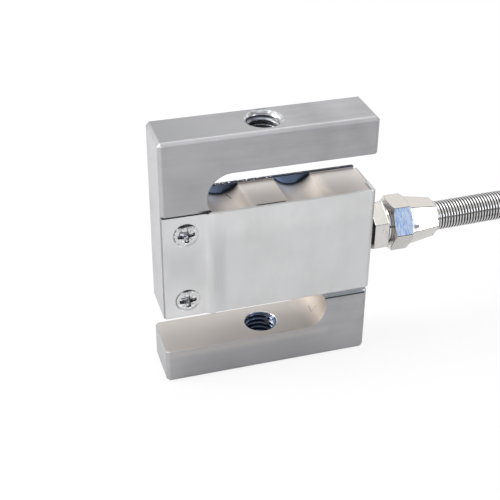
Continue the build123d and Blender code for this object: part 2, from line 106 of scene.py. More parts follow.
class Nodes:
    """Adds nodes to one tree and links them by name."""

    def __init__(self, tree: bpy.types.NodeTree) -> None:
        """Keep the tree.

        Args:
            tree: the node tree that is filled.
        """
        self.tree = tree

    def add(self, kind: str, values: dict | None = None, **settings: object) -> bpy.types.Node:
        """Add a node, set its properties and its input values.

        Args:
            kind: the node's type name.
            values: input socket names or numbers, with a value or an output socket each.
            settings: properties of the node itself.

        Returns:
            The new node.
        """
        node = self.tree.nodes.new(kind)
        for name, value in settings.items():
            setattr(node, name, value)
        for name, value in (values or {}).items():
            socket = node.inputs[name]
            if isinstance(value, bpy.types.NodeSocket):
                self.tree.links.new(value, socket)
            else:
                socket.default_value = value
        return node

    def maths(self, operation: str, *values: object) -> bpy.types.NodeSocket:
        """Add a Math node.

        Args:
            operation: the operation's name.
            values: its inputs, in order.

        Returns:
            The result socket.
        """
        node = self.add("ShaderNodeMath", dict(enumerate(values)), operation=operation)
        return node.outputs[0]

    def vector_maths(self, operation: str, *values: object) -> bpy.types.NodeSocket:
        """Add a Vector Math node.

        Args:
            operation: the operation's name.
            values: its inputs, in order, with the factor second for SCALE.

        Returns:
            The result socket: a number for a dot product or a length, and a vector otherwise.
        """
        inputs = dict(enumerate(values))
        if operation == "SCALE":
            inputs = {0: values[0], "Scale": values[1]}
        node = self.add("ShaderNodeVectorMath", inputs, operation=operation)
        gives_number = operation in ("DOT_PRODUCT", "LENGTH")
        return node.outputs["Value" if gives_number else "Vector"]

    def noise(
        self, place: object, scale: object, detail: float = 3.0, roughness: float = 0.6
    ) -> bpy.types.NodeSocket:
        """Add a Noise Texture node.

        Args:
            place: where the noise is read.
            scale: its scale.
            detail: number of finer layers.
            roughness: how strong the finer layers are.

        Returns:
            The noise's socket.
        """
        values = {"Vector": place, "Scale": scale, "Detail": detail, "Roughness": roughness}
        return self.add("ShaderNodeTexNoise", values).outputs["Fac"]

    def object_place(self) -> bpy.types.NodeSocket:
        """Add a Texture Coordinate node and give its object coordinates."""
        return self.add("ShaderNodeTexCoord").outputs["Object"]

    def blend(self, share: object, first: object, second: object) -> bpy.types.NodeSocket:
        """Mix two colours.

        Args:
            share: how much of the second shows.
            first: the first colour or socket.
            second: the second colour or socket.

        Returns:
            The mixed colour's socket.
        """
        node = self.add("ShaderNodeMix", data_type="RGBA")
        for index, value in ((MIX_SHARE, share), (MIX_FIRST, first), (MIX_SECOND, second)):
            if isinstance(value, bpy.types.NodeSocket):
                self.tree.links.new(value, node.inputs[index])
            else:
                node.inputs[index].default_value = value
        return node.outputs[MIX_RESULT]

    def ramp(self, value: object, low: float, high: float) -> bpy.types.NodeSocket:
        """Stretch a value between two limits to 0 and 1, and clamp it.

        Args:
            value: the input socket.
            low: the input that gives 0.
            high: the input that gives 1.

        Returns:
            The result's socket.
        """
        limits = {"Value": value, "From Min": low, "From Max": high, "To Min": 0.0, "To Max": 1.0}
        return self.add("ShaderNodeMapRange", limits).outputs["Result"]


def new_group(
    effect: Effect, inputs: dict[str, tuple[str, object]], outputs: dict[str, str]
) -> tuple[bpy.types.NodeTree, Nodes, bpy.types.Node, bpy.types.Node]:
    """Make an empty shader node group with named sockets.

    Args:
        effect: the effect that it gives.
        inputs: name to socket type and default value.
        outputs: name to socket type.

    Returns:
        The group, its node helper, its input node and its output node.
    """
    group = bpy.data.node_groups.new(effect.value, "ShaderNodeTree")
    for label, (kind, value) in inputs.items():
        socket = group.interface.new_socket(label, in_out="INPUT", socket_type=kind)
        socket.default_value = value
    for label, kind in outputs.items():
        group.interface.new_socket(label, in_out="OUTPUT", socket_type=kind)
    nodes = Nodes(group)
    return group, nodes, nodes.add("NodeGroupInput"), nodes.add("NodeGroupOutput")


def new_material(name: str) -> tuple[bpy.types.Material, Nodes]:
    """Make an empty node material.

    Args:
        name: its name.

    Returns:
        The material and its node helper.
    """
    made = bpy.data.materials.new(name)
    made.use_nodes = True
    made.node_tree.nodes.clear()
    return made, Nodes(made.node_tree)


def metal_grain_group() -> bpy.types.NodeTree:
    """Fine lay marks, brushed streaks and slow cloudiness, from stretched noise on object coordinates.

    Returns:
        A group that gives colour, roughness and height.
    """
    inputs = {
        "Color": ("NodeSocketColor", (0.5, 0.5, 0.5, 1)),
        "Tint": ("NodeSocketColor", (0.5, 0.5, 0.5, 1)),
        "Roughness": ("NodeSocketFloat", 0.4),
        "Stretch": ("NodeSocketVector", (1, 1, 1)),
        "Scale": ("NodeSocketFloat", 6000.0),
        "Grain": ("NodeSocketFloat", 0.1),
        "Cloud": ("NodeSocketFloat", 0.1),
        "Cloud Scale": ("NodeSocketFloat", 90.0),
        "Streak": ("NodeSocketFloat", 0.0),
        "Streak Stretch": ("NodeSocketVector", (1, 1, 1)),
        "Streak Scale": ("NodeSocketFloat", 600.0),
    }
    outputs = {"Color": "NodeSocketColor", "Roughness": "NodeSocketFloat", "Height": "NodeSocketFloat"}
    group, nodes, source, target = new_group(Effect.GRAIN, inputs, outputs)
    cloud_detail, cloud_roughness = 4.0, 0.55
    tint_from, tint_to, tint_share = 0.42, 0.7, 0.35
    rough_share = 0.3
    place = nodes.object_place()
    stretched = nodes.vector_maths("MULTIPLY", place, source.outputs["Stretch"])
    fine = nodes.noise(stretched, source.outputs["Scale"])
    cloud = nodes.noise(place, source.outputs["Cloud Scale"], cloud_detail, cloud_roughness)
    brushed = nodes.vector_maths("MULTIPLY", place, source.outputs["Streak Stretch"])
    streak = nodes.noise(brushed, source.outputs["Streak Scale"])
    fine_shade = nodes.maths("MULTIPLY", nodes.maths("SUBTRACT", fine, 0.5), source.outputs["Grain"])
    slow_shade = nodes.maths("MULTIPLY", nodes.maths("SUBTRACT", cloud, 0.5), source.outputs["Cloud"])
    long_shade = nodes.maths("MULTIPLY", nodes.maths("SUBTRACT", streak, 0.5), source.outputs["Streak"])
    shade = nodes.maths("ADD", nodes.maths("ADD", fine_shade, slow_shade), long_shade)
    level = nodes.maths("ADD", shade, 1.0)
    shaded = nodes.vector_maths("SCALE", source.outputs["Color"], level)
    tinted = nodes.blend(nodes.ramp(cloud, tint_from, tint_to), shaded, source.outputs["Tint"])
    rough = nodes.maths("ADD", source.outputs["Roughness"], nodes.maths("MULTIPLY", shade, rough_share))
    group.links.new(nodes.blend(tint_share, shaded, tinted), target.inputs["Color"])
    group.links.new(rough, target.inputs["Roughness"])
    group.links.new(fine, target.inputs["Height"])
    return group


def edge_wear_and_sheen_group() -> bpy.types.NodeTree:
    """Edges of another colour, for rubbed wear and for painted edge highlights and dark edge reflections:
    the mask is how far the rounded normal turns from the face's own normal.

    Returns:
        A group that gives a colour, a roughness and a rounded normal.
    """
    inputs = {
        "Color": ("NodeSocketColor", (0.5, 0.5, 0.5, 1)),
        "Edge Color": ("NodeSocketColor", (0.9, 0.9, 0.9, 1)),
        "Roughness": ("NodeSocketFloat", 0.4),
        "Edge Roughness": ("NodeSocketFloat", 0.25),
        "Radius": ("NodeSocketFloat", 0.0002),
        "Amount": ("NodeSocketFloat", 0.6),
    }
    outputs = {"Color": "NodeSocketColor", "Roughness": "NodeSocketFloat", "Normal": "NodeSocketVector"}
    group, nodes, source, target = new_group(Effect.WEAR_AND_SHEEN, inputs, outputs)
    bevel_samples = 6
    rubbed_from, rubbed_to = 0.995, 0.9
    radius = {"Radius": source.outputs["Radius"]}
    rounded = nodes.add("ShaderNodeBevel", radius, samples=bevel_samples).outputs[0]
    flat = nodes.add("ShaderNodeNewGeometry").outputs["True Normal"]
    facing = nodes.vector_maths("DOT_PRODUCT", rounded, flat)
    turned = nodes.ramp(facing, rubbed_from, rubbed_to)
    mask = nodes.maths("MULTIPLY", turned, source.outputs["Amount"])
    colour = nodes.blend(mask, source.outputs["Color"], source.outputs["Edge Color"])
    step = nodes.maths("SUBTRACT", source.outputs["Edge Roughness"], source.outputs["Roughness"])
    rough = nodes.maths("ADD", source.outputs["Roughness"], nodes.maths("MULTIPLY", step, mask))
    group.links.new(colour, target.inputs["Color"])
    group.links.new(rough, target.inputs["Roughness"])
    group.links.new(rounded, target.inputs["Normal"])
    return group


def dust_group() -> bpy.types.NodeTree:
    """Thin grey dust that settles on faces that look up, broken up by noise.

    Returns:
        A group that gives a colour and a roughness.
    """
    inputs = {
        "Color": ("NodeSocketColor", (0.5, 0.5, 0.5, 1)),
        "Dust Color": ("NodeSocketColor", (0.6, 0.58, 0.55, 1)),
        "Roughness": ("NodeSocketFloat", 0.4),
        "Amount": ("NodeSocketFloat", 0.2),
    }
    outputs = {"Color": "NodeSocketColor", "Roughness": "NodeSocketFloat"}
    group, nodes, source, target = new_group(Effect.DUST, inputs, outputs)
    speck_scale, speck_detail, speck_roughness = 900.0, 5.0, 0.7
    upward_from, upward_to = 0.2, 1.0
    speck_from, speck_to = 0.45, 0.75
    dust_roughness = 0.3
    normal = nodes.add("ShaderNodeNewGeometry").outputs["Normal"]
    upward = nodes.add("ShaderNodeSeparateXYZ", {0: normal}).outputs["Z"]
    specks = nodes.noise(nodes.object_place(), speck_scale, speck_detail, speck_roughness)
    flat_share = nodes.ramp(upward, upward_from, upward_to)
    lying = nodes.maths("MULTIPLY", flat_share, nodes.ramp(specks, speck_from, speck_to))
    mask = nodes.maths("MULTIPLY", lying, source.outputs["Amount"])
    colour = nodes.blend(mask, source.outputs["Color"], source.outputs["Dust Color"])
    added = nodes.maths("MULTIPLY", mask, dust_roughness)
    rough = nodes.maths("ADD", source.outputs["Roughness"], added)
    group.links.new(colour, target.inputs["Color"])
    group.links.new(rough, target.inputs["Roughness"])
    return group


def box_mask_group() -> bpy.types.NodeTree:
    """1 inside a box of object coordinates, falling to 0 at its sides over a soft margin.

    Returns:
        A group that gives a mask.
    """
    inputs = {
        "Low": ("NodeSocketVector", (0, 0, 0)),
        "High": ("NodeSocketVector", (0, 0, 0)),
        "Soft": ("NodeSocketVector", (0.001, 0.001, 0.001)),
    }
    group, nodes, source, target = new_group(Effect.BOX, inputs, {"Mask": "NodeSocketFloat"})
    place = nodes.object_place()
    sides = []
    for first, second in ((place, source.outputs["Low"]), (source.outputs["High"], place)):
        depth = nodes.vector_maths("SUBTRACT", first, second)
        share = nodes.vector_maths("DIVIDE", depth, source.outputs["Soft"])
        parts = nodes.add("ShaderNodeSeparateXYZ", {0: share})
        sides += [parts.outputs[0], parts.outputs[1], parts.outputs[2]]
    least = sides[0]
    for side in sides[1:]:
        least = nodes.maths("MINIMUM", least, side)
    group.links.new(nodes.ramp(least, 0.0, 1.0), target.inputs["Mask"])
    return group


def facing_mask_group() -> bpy.types.NodeTree:
    """1 where the surface faces a direction, by the dot product of the flat normal with it.

    Returns:
        A group that gives a mask for one side and a mask for both sides.
    """
    inputs = {"Direction": ("NodeSocketVector", (0, 0, 1))}
    outputs = {"Mask": "NodeSocketFloat", "Both": "NodeSocketFloat"}
    group, nodes, source, target = new_group(Effect.FACING, inputs, outputs)
    facing_from, facing_to = 0.55, 0.85
    flat = nodes.add("ShaderNodeNewGeometry").outputs["True Normal"]
    turned = nodes.vector_maths("DOT_PRODUCT", flat, source.outputs["Direction"])
    either = nodes.maths("ABSOLUTE", turned)
    group.links.new(nodes.ramp(turned, facing_from, facing_to), target.inputs["Mask"])
    group.links.new(nodes.ramp(either, facing_from, facing_to), target.inputs["Both"])
    return group


def stroke_mask_group() -> bpy.types.NodeTree:
    """1 on a short straight stroke: the distance from a point to the segment, against its half width.

    Returns:
        A group that gives a mask.
    """
    inputs = {
        "Start": ("NodeSocketVector", (0, 0, 0)),
        "End": ("NodeSocketVector", (0, 0, 0.001)),
        "Width": ("NodeSocketFloat", 0.0001),
    }
    group, nodes, source, target = new_group(Effect.STROKE, inputs, {"Mask": "NodeSocketFloat"})
    rim_from, rim_to = 1.3, 0.6
    start, end = source.outputs["Start"], source.outputs["End"]
    offset = nodes.vector_maths("SUBTRACT", nodes.object_place(), start)
    stroke = nodes.vector_maths("SUBTRACT", end, start)
    along = nodes.vector_maths("DOT_PRODUCT", offset, stroke)
    square = nodes.vector_maths("DOT_PRODUCT", stroke, stroke)
    share = nodes.ramp(nodes.maths("DIVIDE", along, square), 0.0, 1.0)
    gap = nodes.vector_maths("SUBTRACT", offset, nodes.vector_maths("SCALE", stroke, share))
    distance = nodes.vector_maths("LENGTH", gap)
    relative = nodes.maths("DIVIDE", distance, source.outputs["Width"])
    group.links.new(nodes.ramp(relative, rim_from, rim_to), target.inputs["Mask"])
    return group


def speck_mask_group() -> bpy.types.NodeTree:
    """Ragged or brushed specks: stretched noise on object coordinates above a threshold.

    Returns:
        A group that gives a mask.
    """
    inputs = {
        "Scale": ("NodeSocketFloat", 3000.0),
        "Threshold": ("NodeSocketFloat", 0.6),
        "Softness": ("NodeSocketFloat", 0.04),
        "Stretch": ("NodeSocketVector", (1, 1, 1)),
    }
    group, nodes, source, target = new_group(Effect.SPECK, inputs, {"Mask": "NodeSocketFloat"})
    stretched = nodes.vector_maths("MULTIPLY", nodes.object_place(), source.outputs["Stretch"])
    noise = nodes.noise(stretched, source.outputs["Scale"])
    over = nodes.maths("SUBTRACT", noise, source.outputs["Threshold"])
    share = nodes.maths("DIVIDE", over, source.outputs["Softness"])
    group.links.new(nodes.ramp(share, 0.0, 1.0), target.inputs["Mask"])
    return group


GROUPS: dict[Effect, bpy.types.NodeTree] = {}


def shared_group(effect: Effect) -> bpy.types.NodeTree:
    """The node group of a shared effect, made on first use.

    Args:
        effect: the effect.

    Returns:
        The node group.
    """
    makers = {
        Effect.GRAIN: metal_grain_group,
        Effect.WEAR_AND_SHEEN: edge_wear_and_sheen_group,
        Effect.DUST: dust_group,
        Effect.BOX: box_mask_group,
        Effect.FACING: facing_mask_group,
        Effect.STROKE: stroke_mask_group,
        Effect.SPECK: speck_mask_group,
    }
    if effect not in GROUPS:
        GROUPS[effect] = makers[effect]()
    return GROUPS[effect]


def use_group(nodes: Nodes, effect: Effect, values: dict) -> bpy.types.Node:
    """Add a shared effect to a material.

    Args:
        nodes: the material's node helper.
        effect: the effect.
        values: its inputs, as values or sockets.

    Returns:
        The group node.
    """
    return nodes.add("ShaderNodeGroup", values, node_tree=shared_group(effect))


def in_metres(point: Point) -> Point:
    """A point or size in millimetres, in metres."""
    return (point[0] * MM, point[1] * MM, point[2] * MM)


@dataclass(frozen=True)
class Zone:
    """A part of a surface with another colour, its own or painted light and shade: inside a box, by the way
    it faces, in specks.
    """

    colour: Colour
    low: Point = (-90.0, -90.0, -90.0)
    high: Point = (90.0, 90.0, 90.0)
    soft: Point = (0.1, 0.1, 0.1)
    amount: float = 1.0
    roughness: float | None = None
    facing: Side | None = None
    away: Side | None = None
    speck_scale: float = 0.0
    speck_level: float = 0.6
    speck_soft: float = 0.04
    speck_lay: Point = (1.0, 1.0, 1.0)

    def mask(self, nodes: Nodes) -> bpy.types.NodeSocket:
        """Build the zone's mask.

        Args:
            nodes: the material's node helper.

        Returns:
            The mask's socket.
        """
        corners = {"Low": in_metres(self.low), "High": in_metres(self.high), "Soft": in_metres(self.soft)}
        mask = use_group(nodes, Effect.BOX, corners).outputs["Mask"]
        if self.facing:
            toward = use_group(nodes, Effect.FACING, {"Direction": self.facing.value}).outputs["Mask"]
            mask = nodes.maths("MULTIPLY", mask, toward)
        if self.away:
            turned = use_group(nodes, Effect.FACING, {"Direction": self.away.value}).outputs["Both"]
            mask = nodes.maths("MULTIPLY", mask, nodes.maths("SUBTRACT", 1.0, turned))
        if self.speck_scale:
            sizes = {
                "Scale": self.speck_scale,
                "Threshold": self.speck_level,
                "Softness": self.speck_soft,
                "Stretch": self.speck_lay,
            }
            mask = nodes.maths("MULTIPLY", mask, use_group(nodes, Effect.SPECK, sizes).outputs["Mask"])
        return nodes.maths("MULTIPLY", mask, self.amount)


@dataclass(frozen=True)
class Stroke:
    """A thin scratch, tool mark, line of painted shade, painted reflection line or painted reflection spot
    between two points of the surface.
    """

    start: Point
    end: Point
    width: float
    colour: Colour
    amount: float = 0.8
    roughness: float | None = None

    def mask(self, nodes: Nodes) -> bpy.types.NodeSocket:
        """Build the stroke's mask.

        Args:
            nodes: the material's node helper.

        Returns:
            The mask's socket.
        """
        ends = {"Start": in_metres(self.start), "End": in_metres(self.end), "Width": self.width * MM}
        return nodes.maths("MULTIPLY", use_group(nodes, Effect.STROKE, ends).outputs["Mask"], self.amount)


def arc_strokes(
    middle: Point, radius: float, first: float, last: float, pieces: int, width: float, colour: Colour
) -> tuple[Stroke, ...]:
    """Strokes end to end round an axis along Y, chords of the circle x, z = radius * (cos a, sin a).

    Args:
        middle: the circle's centre.
        radius: its radius.
        first: start angle from +X toward +Z, in degrees.
        last: end angle.
        pieces: number of strokes.
        width: half width of a stroke.
        colour: their colour.

    Returns:
        The strokes.
    """
    angle = np.radians(np.linspace(first, last, pieces + 1))
    x = middle[0] + radius * np.cos(angle)
    z = middle[2] + radius * np.sin(angle)
    ends = [(float(along), middle[1], float(up)) for along, up in zip(x, z)]
    return tuple(Stroke(start, end, width, colour, ARC_AMOUNT) for start, end in zip(ends, ends[1:]))


@dataclass(frozen=True)
class Hollow:
    """Painted shade in the hollows of a piece, from the depth that its surface carries as an attribute."""

    colour: Colour
    amount: float = 1.0
    low: float = 0.15
    high: float = 0.8
    roughness: float | None = 0.6

    def mask(self, nodes: Nodes) -> bpy.types.NodeSocket:
        """Build the mask from the attribute.

        Args:
            nodes: the material's node helper.

        Returns:
            The mask's socket.
        """
        depth = nodes.add("ShaderNodeAttribute", attribute_name=HOLLOW_NAME).outputs["Fac"]
        return nodes.maths("MULTIPLY", nodes.ramp(depth, self.low, self.high), self.amount)


def lay_zones(
    nodes: Nodes,
    zones: tuple[Zone | Stroke | Hollow, ...],
    colour: bpy.types.NodeSocket,
    roughness: bpy.types.NodeSocket,
) -> tuple[bpy.types.NodeSocket, bpy.types.NodeSocket]:
    """Lay zones over a colour and a roughness, one after the other.

    Args:
        nodes: the material's node helper.
        zones: the zones, lowest first.
        colour: the colour below.
        roughness: the roughness below.

    Returns:
        The colour and the roughness with the zones on them.
    """
    for zone in zones:
        mask = zone.mask(nodes)
        colour = nodes.blend(mask, colour, zone.colour)
        if zone.roughness is not None:
            step = nodes.maths("SUBTRACT", zone.roughness, roughness)
            roughness = nodes.maths("ADD", roughness, nodes.maths("MULTIPLY", step, mask))
    return colour, roughness


@dataclass(frozen=True)
class MetalFinish:
    """A machined, plated or polished metal with lay marks, and edges of another colour for rubbed wear and
    for painted edge highlights and dark edge reflections.
    """

    name: str
    colour: Colour
    tint: Colour
    edge: Colour
    roughness: float
    grain: Grain
    grain_scale: float = 5000.0
    grain_amount: float = 0.12
    cloud: float = 0.10
    metallic: float = 1.0
    wear_and_sheen: float = 0.5
    wear_radius: float = 0.00025
    bump: float = 0.08
    cloud_scale: float = 90.0
    streak: float = 0.0
    streak_lay: Point = (1.0, 1.0, 1.0)
    streak_scale: float = 600.0
    zones: tuple[Zone | Stroke | Hollow, ...] = ()

    def material(self) -> bpy.types.Material:
        """Build the node material.

        Returns:
            The material.
        """
        made, nodes = new_material(self.name)
        grain = use_group(
            nodes,
            Effect.GRAIN,
            {
                "Color": self.colour,
                "Tint": self.tint,
                "Roughness": self.roughness,
                "Stretch": self.grain.value,
                "Scale": self.grain_scale,
                "Grain": self.grain_amount,
                "Cloud": self.cloud,
                "Cloud Scale": self.cloud_scale,
                "Streak": self.streak,
                "Streak Stretch": self.streak_lay,
                "Streak Scale": self.streak_scale,
            },
        )
        wear_and_sheen = use_group(
            nodes,
            Effect.WEAR_AND_SHEEN,
            {
                "Color": grain.outputs["Color"],
                "Roughness": grain.outputs["Roughness"],
                "Edge Color": self.edge,
                "Edge Roughness": max(EDGE_POLISH, self.roughness - EDGE_POLISH),
                "Radius": self.wear_radius,
                "Amount": self.wear_and_sheen,
            },
        )
        colour, roughness = lay_zones(nodes, self.zones, wear_and_sheen.outputs["Color"], wear_and_sheen.outputs["Roughness"])
        bump = nodes.add(
            "ShaderNodeBump",
            {
                "Height": grain.outputs["Height"],
                "Normal": wear_and_sheen.outputs["Normal"],
                "Distance": METAL_BUMP_DEPTH,
                "Strength": self.bump,
            },
        )
        shader = nodes.add(
            "ShaderNodeBsdfPrincipled",
            {
                "Base Color": colour,
                "Roughness": roughness,
                "Metallic": self.metallic,
                "Normal": bump.outputs["Normal"],
            },
        )
        nodes.add("ShaderNodeOutputMaterial", {"Surface": shader.outputs[0]})
        return made


def darker(colour: Colour, share: float) -> Colour:
    """A colour whose red, green and blue are cut to a share."""
    return (share * colour[0], share * colour[1], share * colour[2], 1.0)


@dataclass(frozen=True)
class SoftFinish:
    """Plastic, rubber or enamel: a colour with fine mottling, moulded grain and dust."""

    name: str
    colour: Colour
    roughness: float = 0.5
    mottle: float = 0.12
    scale: float = 2500.0
    bump: float = 0.1
    dust: float = 0.1
    specular: float = 0.5
    subsurface: float = 0.0

    def material(self) -> bpy.types.Material:
        """Build the node material.

        Returns:
            The material.
        """
        made, nodes = new_material(self.name)
        grain = use_group(
            nodes,
            Effect.GRAIN,
            {
                "Color": self.colour,
                "Tint": darker(self.colour, SOFT_TINT),
                "Roughness": self.roughness,
                "Stretch": Grain.EVEN.value,
                "Scale": self.scale,
                "Grain": self.mottle,
                "Cloud": self.mottle,
            },
        )
        dust = use_group(
            nodes,
            Effect.DUST,
            {
                "Color": grain.outputs["Color"],
                "Roughness": grain.outputs["Roughness"],
                "Amount": self.dust,
            },
        )
        bump = nodes.add(
            "ShaderNodeBump",
            {"Height": grain.outputs["Height"], "Distance": SOFT_BUMP_DEPTH, "Strength": self.bump},
        )
        shader = nodes.add(
            "ShaderNodeBsdfPrincipled",
            {
                "Base Color": dust.outputs["Color"],
                "Roughness": dust.outputs["Roughness"],
                "Specular IOR Level": self.specular,
                "Subsurface Weight": self.subsurface,
                "Subsurface Scale": SUBSURFACE_DEPTH,
                "Normal": bump.outputs["Normal"],
            },
        )
        nodes.add("ShaderNodeOutputMaterial", {"Surface": shader.outputs[0]})
        return made


def grey(level: float, warm: float = 0.0) -> Colour:
    """A grey, warmer with a positive second value and bluer with a negative one."""
    return (level * (1 + warm), level, level * (1 - warm), 1.0)


# Finishes of this cell's own pieces
# Colours of painted light and shade on the body and the sheets: warm reflection, light, highlights, shade,
# gap shadows, glints and the rear sheet's blue light; the mark grey is a real tool mark
BEIGE_SLOT_REFLECTION = (0.50, 0.465, 0.44, 1.0)
SLOT_BACK_LIGHT = (0.645, 0.605, 0.575, 1.0)
SLOT_WARM_LIGHT = (0.72, 0.62, 0.53, 1.0)
SLOT_BRIGHT = (0.95, 0.86, 0.78, 1.0)
SLOT_SHADE = (0.27, 0.255, 0.25, 1.0)
LEDGE_BLUE_REFLECTION = (0.92, 0.98, 1.0, 1.0)
GAP_SHADE_AND_SCRATCH = (0.012, 0.012, 0.02, 1.0)
MARK_GREY = (0.20, 0.17, 0.15, 1.0)
SHEET_BLUE = (0.155, 0.22, 0.36, 1.0)
SHEET_SHADE = (0.012, 0.018, 0.035, 1.0)
SHEET_PALE = (0.30, 0.38, 0.50, 1.0)
WHITE_GLINT = (0.85, 0.87, 0.9, 1.0)
TOP_FACE_SHADE = (0.30, 0.30, 0.303, 1.0)
BODY_DARK = (0.29, 0.29, 0.30, 1.0)
MOUTH_SHADE = (0.10, 0.10, 0.105, 1.0)
BODY_METAL = MetalFinish(
    "plated body steel",
    colour=(0.372, 0.368, 0.380, 1.0),
    tint=(0.345, 0.343, 0.36, 1.0),
    # Lighter edges: rubbed wear and a painted edge highlight
    edge=grey(0.60),
    roughness=0.42,
    grain=Grain.ALONG_X,
    grain_amount=0.10,
    cloud=0.75,
    cloud_scale=70.0,
    streak=0.28,
    streak_lay=(0.10, 1.0, 1.0),
    metallic=0.7,
    wear_and_sheen=0.12,
    wear_radius=0.0006,
    zones=(
        # Painted shade on the top face, darker toward the left, and a painted shadow behind the upper mouth
        Zone(TOP_FACE_SHADE, (-90, -7, 63.8), (5, 7, 64.2), soft=(28, 0.1, 0.1), facing=Side.TOP),
        Zone(MOUTH_SHADE, (-0.8, 4.5, 63.9), (2.4, 5.5, 64.1), soft=(0.9, 0.4, 0.1), amount=0.7),
        # Shade on the column, the left side and the lower arm's front
        Zone(BODY_DARK, (-26, -6.6, 45), (-12, -6.2, 57), soft=(5, 0.1, 3), amount=0.35, facing=Side.FRONT),
        Zone(
            BODY_DARK,
            (-25.6, -6.6, -1),
            (-25.2, 7, 10),
            soft=(0.1, 0.1, 3),
            amount=0.5,
            facing=Side.LEFT,
        ),
        Zone(
            BODY_DARK,
            (-26, -6.5, -1),
            (20, -6.2, 10),
            soft=(12, 0.1, 1.0),
            amount=0.62,
            facing=Side.FRONT,
        ),
        # Painted warm reflection on the walls of the upper and the lower slot, and on the edge below the
        # lower one
        Zone(BEIGE_SLOT_REFLECTION, (-15.0, -7, 43.2), (25.2, 7, 55.1), away=Side.BACK),
        Zone(BEIGE_SLOT_REFLECTION, (-25.2, -7, 8.9), (15.0, 7, 20.8), away=Side.BACK),
        Zone(BEIGE_SLOT_REFLECTION, (-25.2, -7, 6.2), (16.0, -6.2, 9.6), soft=(1.5, 0.1, 2.6), amount=0.7),
        # Painted light, paler toward the back, and painted shade on the web between the relief bores
        Zone(SLOT_BACK_LIGHT, (-15.0, -6.0, 43.2), (25.2, 40, 55.1), soft=(0.1, 8.5, 0.1), away=Side.BACK),
        Zone(SLOT_SHADE, (-4.6, -9.0, 45.2), (4.6, 3.5, 45.6), soft=(3.0, 5.0, 0.1), amount=0.2),
        # Painted warm light on the closed end of the lower slot and on the left flanks of the relief bores
        Zone(
            SLOT_WARM_LIGHT,
            (1.0, -9, 8.95),
            (22.0, 9, 20.8),
            soft=(10.0, 3.0, 2.5),
            amount=0.9,
            away=Side.BACK,
        ),
        Zone(
            SLOT_WARM_LIGHT,
            (-10.5, -7, 43.2),
            (-3.5, 7, 47.0),
            soft=(3.0, 3.0, 1.0),
            amount=0.8,
            away=Side.BACK,
        ),
        Zone(SLOT_WARM_LIGHT, (8.0, -6, 43.2), (15.0, 7, 47.0), soft=(3.0, 4.0, 1.0), amount=0.7, away=Side.BACK),
        # Light caught in both relief bores, on the web and on the bores' rear rims
        Zone(
            SLOT_BRIGHT,
            (-9.6, -6, 43.0),
            (-3.5, 6, 47.0),
            soft=(2.6, 3.0, 1.0),
            amount=0.7,
            away=Side.BACK,
        ),
        Zone(
            SLOT_BRIGHT,
            (10.3, -6, 43.0),
            (16.1, 6, 47.0),
            soft=(2.0, 4.0, 1.0),
            amount=0.6,
            away=Side.BACK,
        ),
        Zone(
            SLOT_BRIGHT,
            (3.6, -7, 43.2),
            (9.0, 5.2, 45.35),
            soft=(1.0, 2.0, 0.3),
            amount=0.4,
            away=Side.BACK,
        ),
        Zone(
            SLOT_BRIGHT,
            (-14.0, 4.9, 43.2),
            (-4.0, 5.56, 45.5),
            soft=(0.6, 0.3, 0.2),
            amount=0.7,
            away=Side.BACK,
        ),
        Zone(
            SLOT_BRIGHT,
            (4.0, 4.9, 43.2),
            (13.8, 5.56, 45.5),
            soft=(0.6, 0.3, 0.2),
            amount=0.7,
            away=Side.BACK,
        ),
        # Painted shadow wedge in the gap at the end of the flange's seam
        Zone(
            GAP_SHADE_AND_SCRATCH,
            (-17.2, -6.5, 45.95),
            (-12.6, -6.3, 46.6),
            soft=(1.8, 0.05, 0.25),
            facing=Side.FRONT,
        ),
        # Painted pale blue reflection on the ledge above the lower slot's end, and painted shade in the
        # seams along the cover
        Zone(LEDGE_BLUE_REFLECTION, (9.0, -6.6, 17.0), (25.3, -5.4, 17.6), facing=Side.TOP, roughness=0.2),
        Zone(
            GAP_SHADE_AND_SCRATCH,
            (14.2, -6.6, 16.85),
            (25.0, -6.2, 17.5),
            soft=(0.3, 0.1, 0.12),
            amount=0.9,
            facing=Side.FRONT,
        ),
        Zone(GAP_SHADE_AND_SCRATCH, (-3.4, -5.9, 45.2), (4.2, -5.0, 45.6), soft=(0.6, 0.12, 0.1)),
        Zone(GAP_SHADE_AND_SCRATCH, (-25.2, -5.7, 45.4), (-12.8, -5.45, 46.2), soft=(0.2, 0.05, 0.05)),
        # Painted highlight on the rim of the lower hole
        Zone(
            WHITE_GLINT,
            (-4.5, -4.5, 8.8),
            (4.5, 4.5, 8.985),
            soft=(0.1, 0.1, 0.02),
            amount=0.9,
            roughness=0.2,
        ),
        # Tool mark in the lower slot's end, and a scratch in the left relief bore
        Stroke((12.86, 1.0, 10.54), (12.73, -1.6, 10.43), width=0.12, colour=MARK_GREY, amount=0.6),
        Stroke((12.73, -1.6, 10.43), (14.0, -1.64, 12.0), width=0.12, colour=MARK_GREY, amount=0.6),
        Stroke((-7.49, 4.69, 43.47), (-6.82, 2.33, 43.68), width=0.10, colour=GAP_SHADE_AND_SCRATCH, amount=0.85),
    ),
)
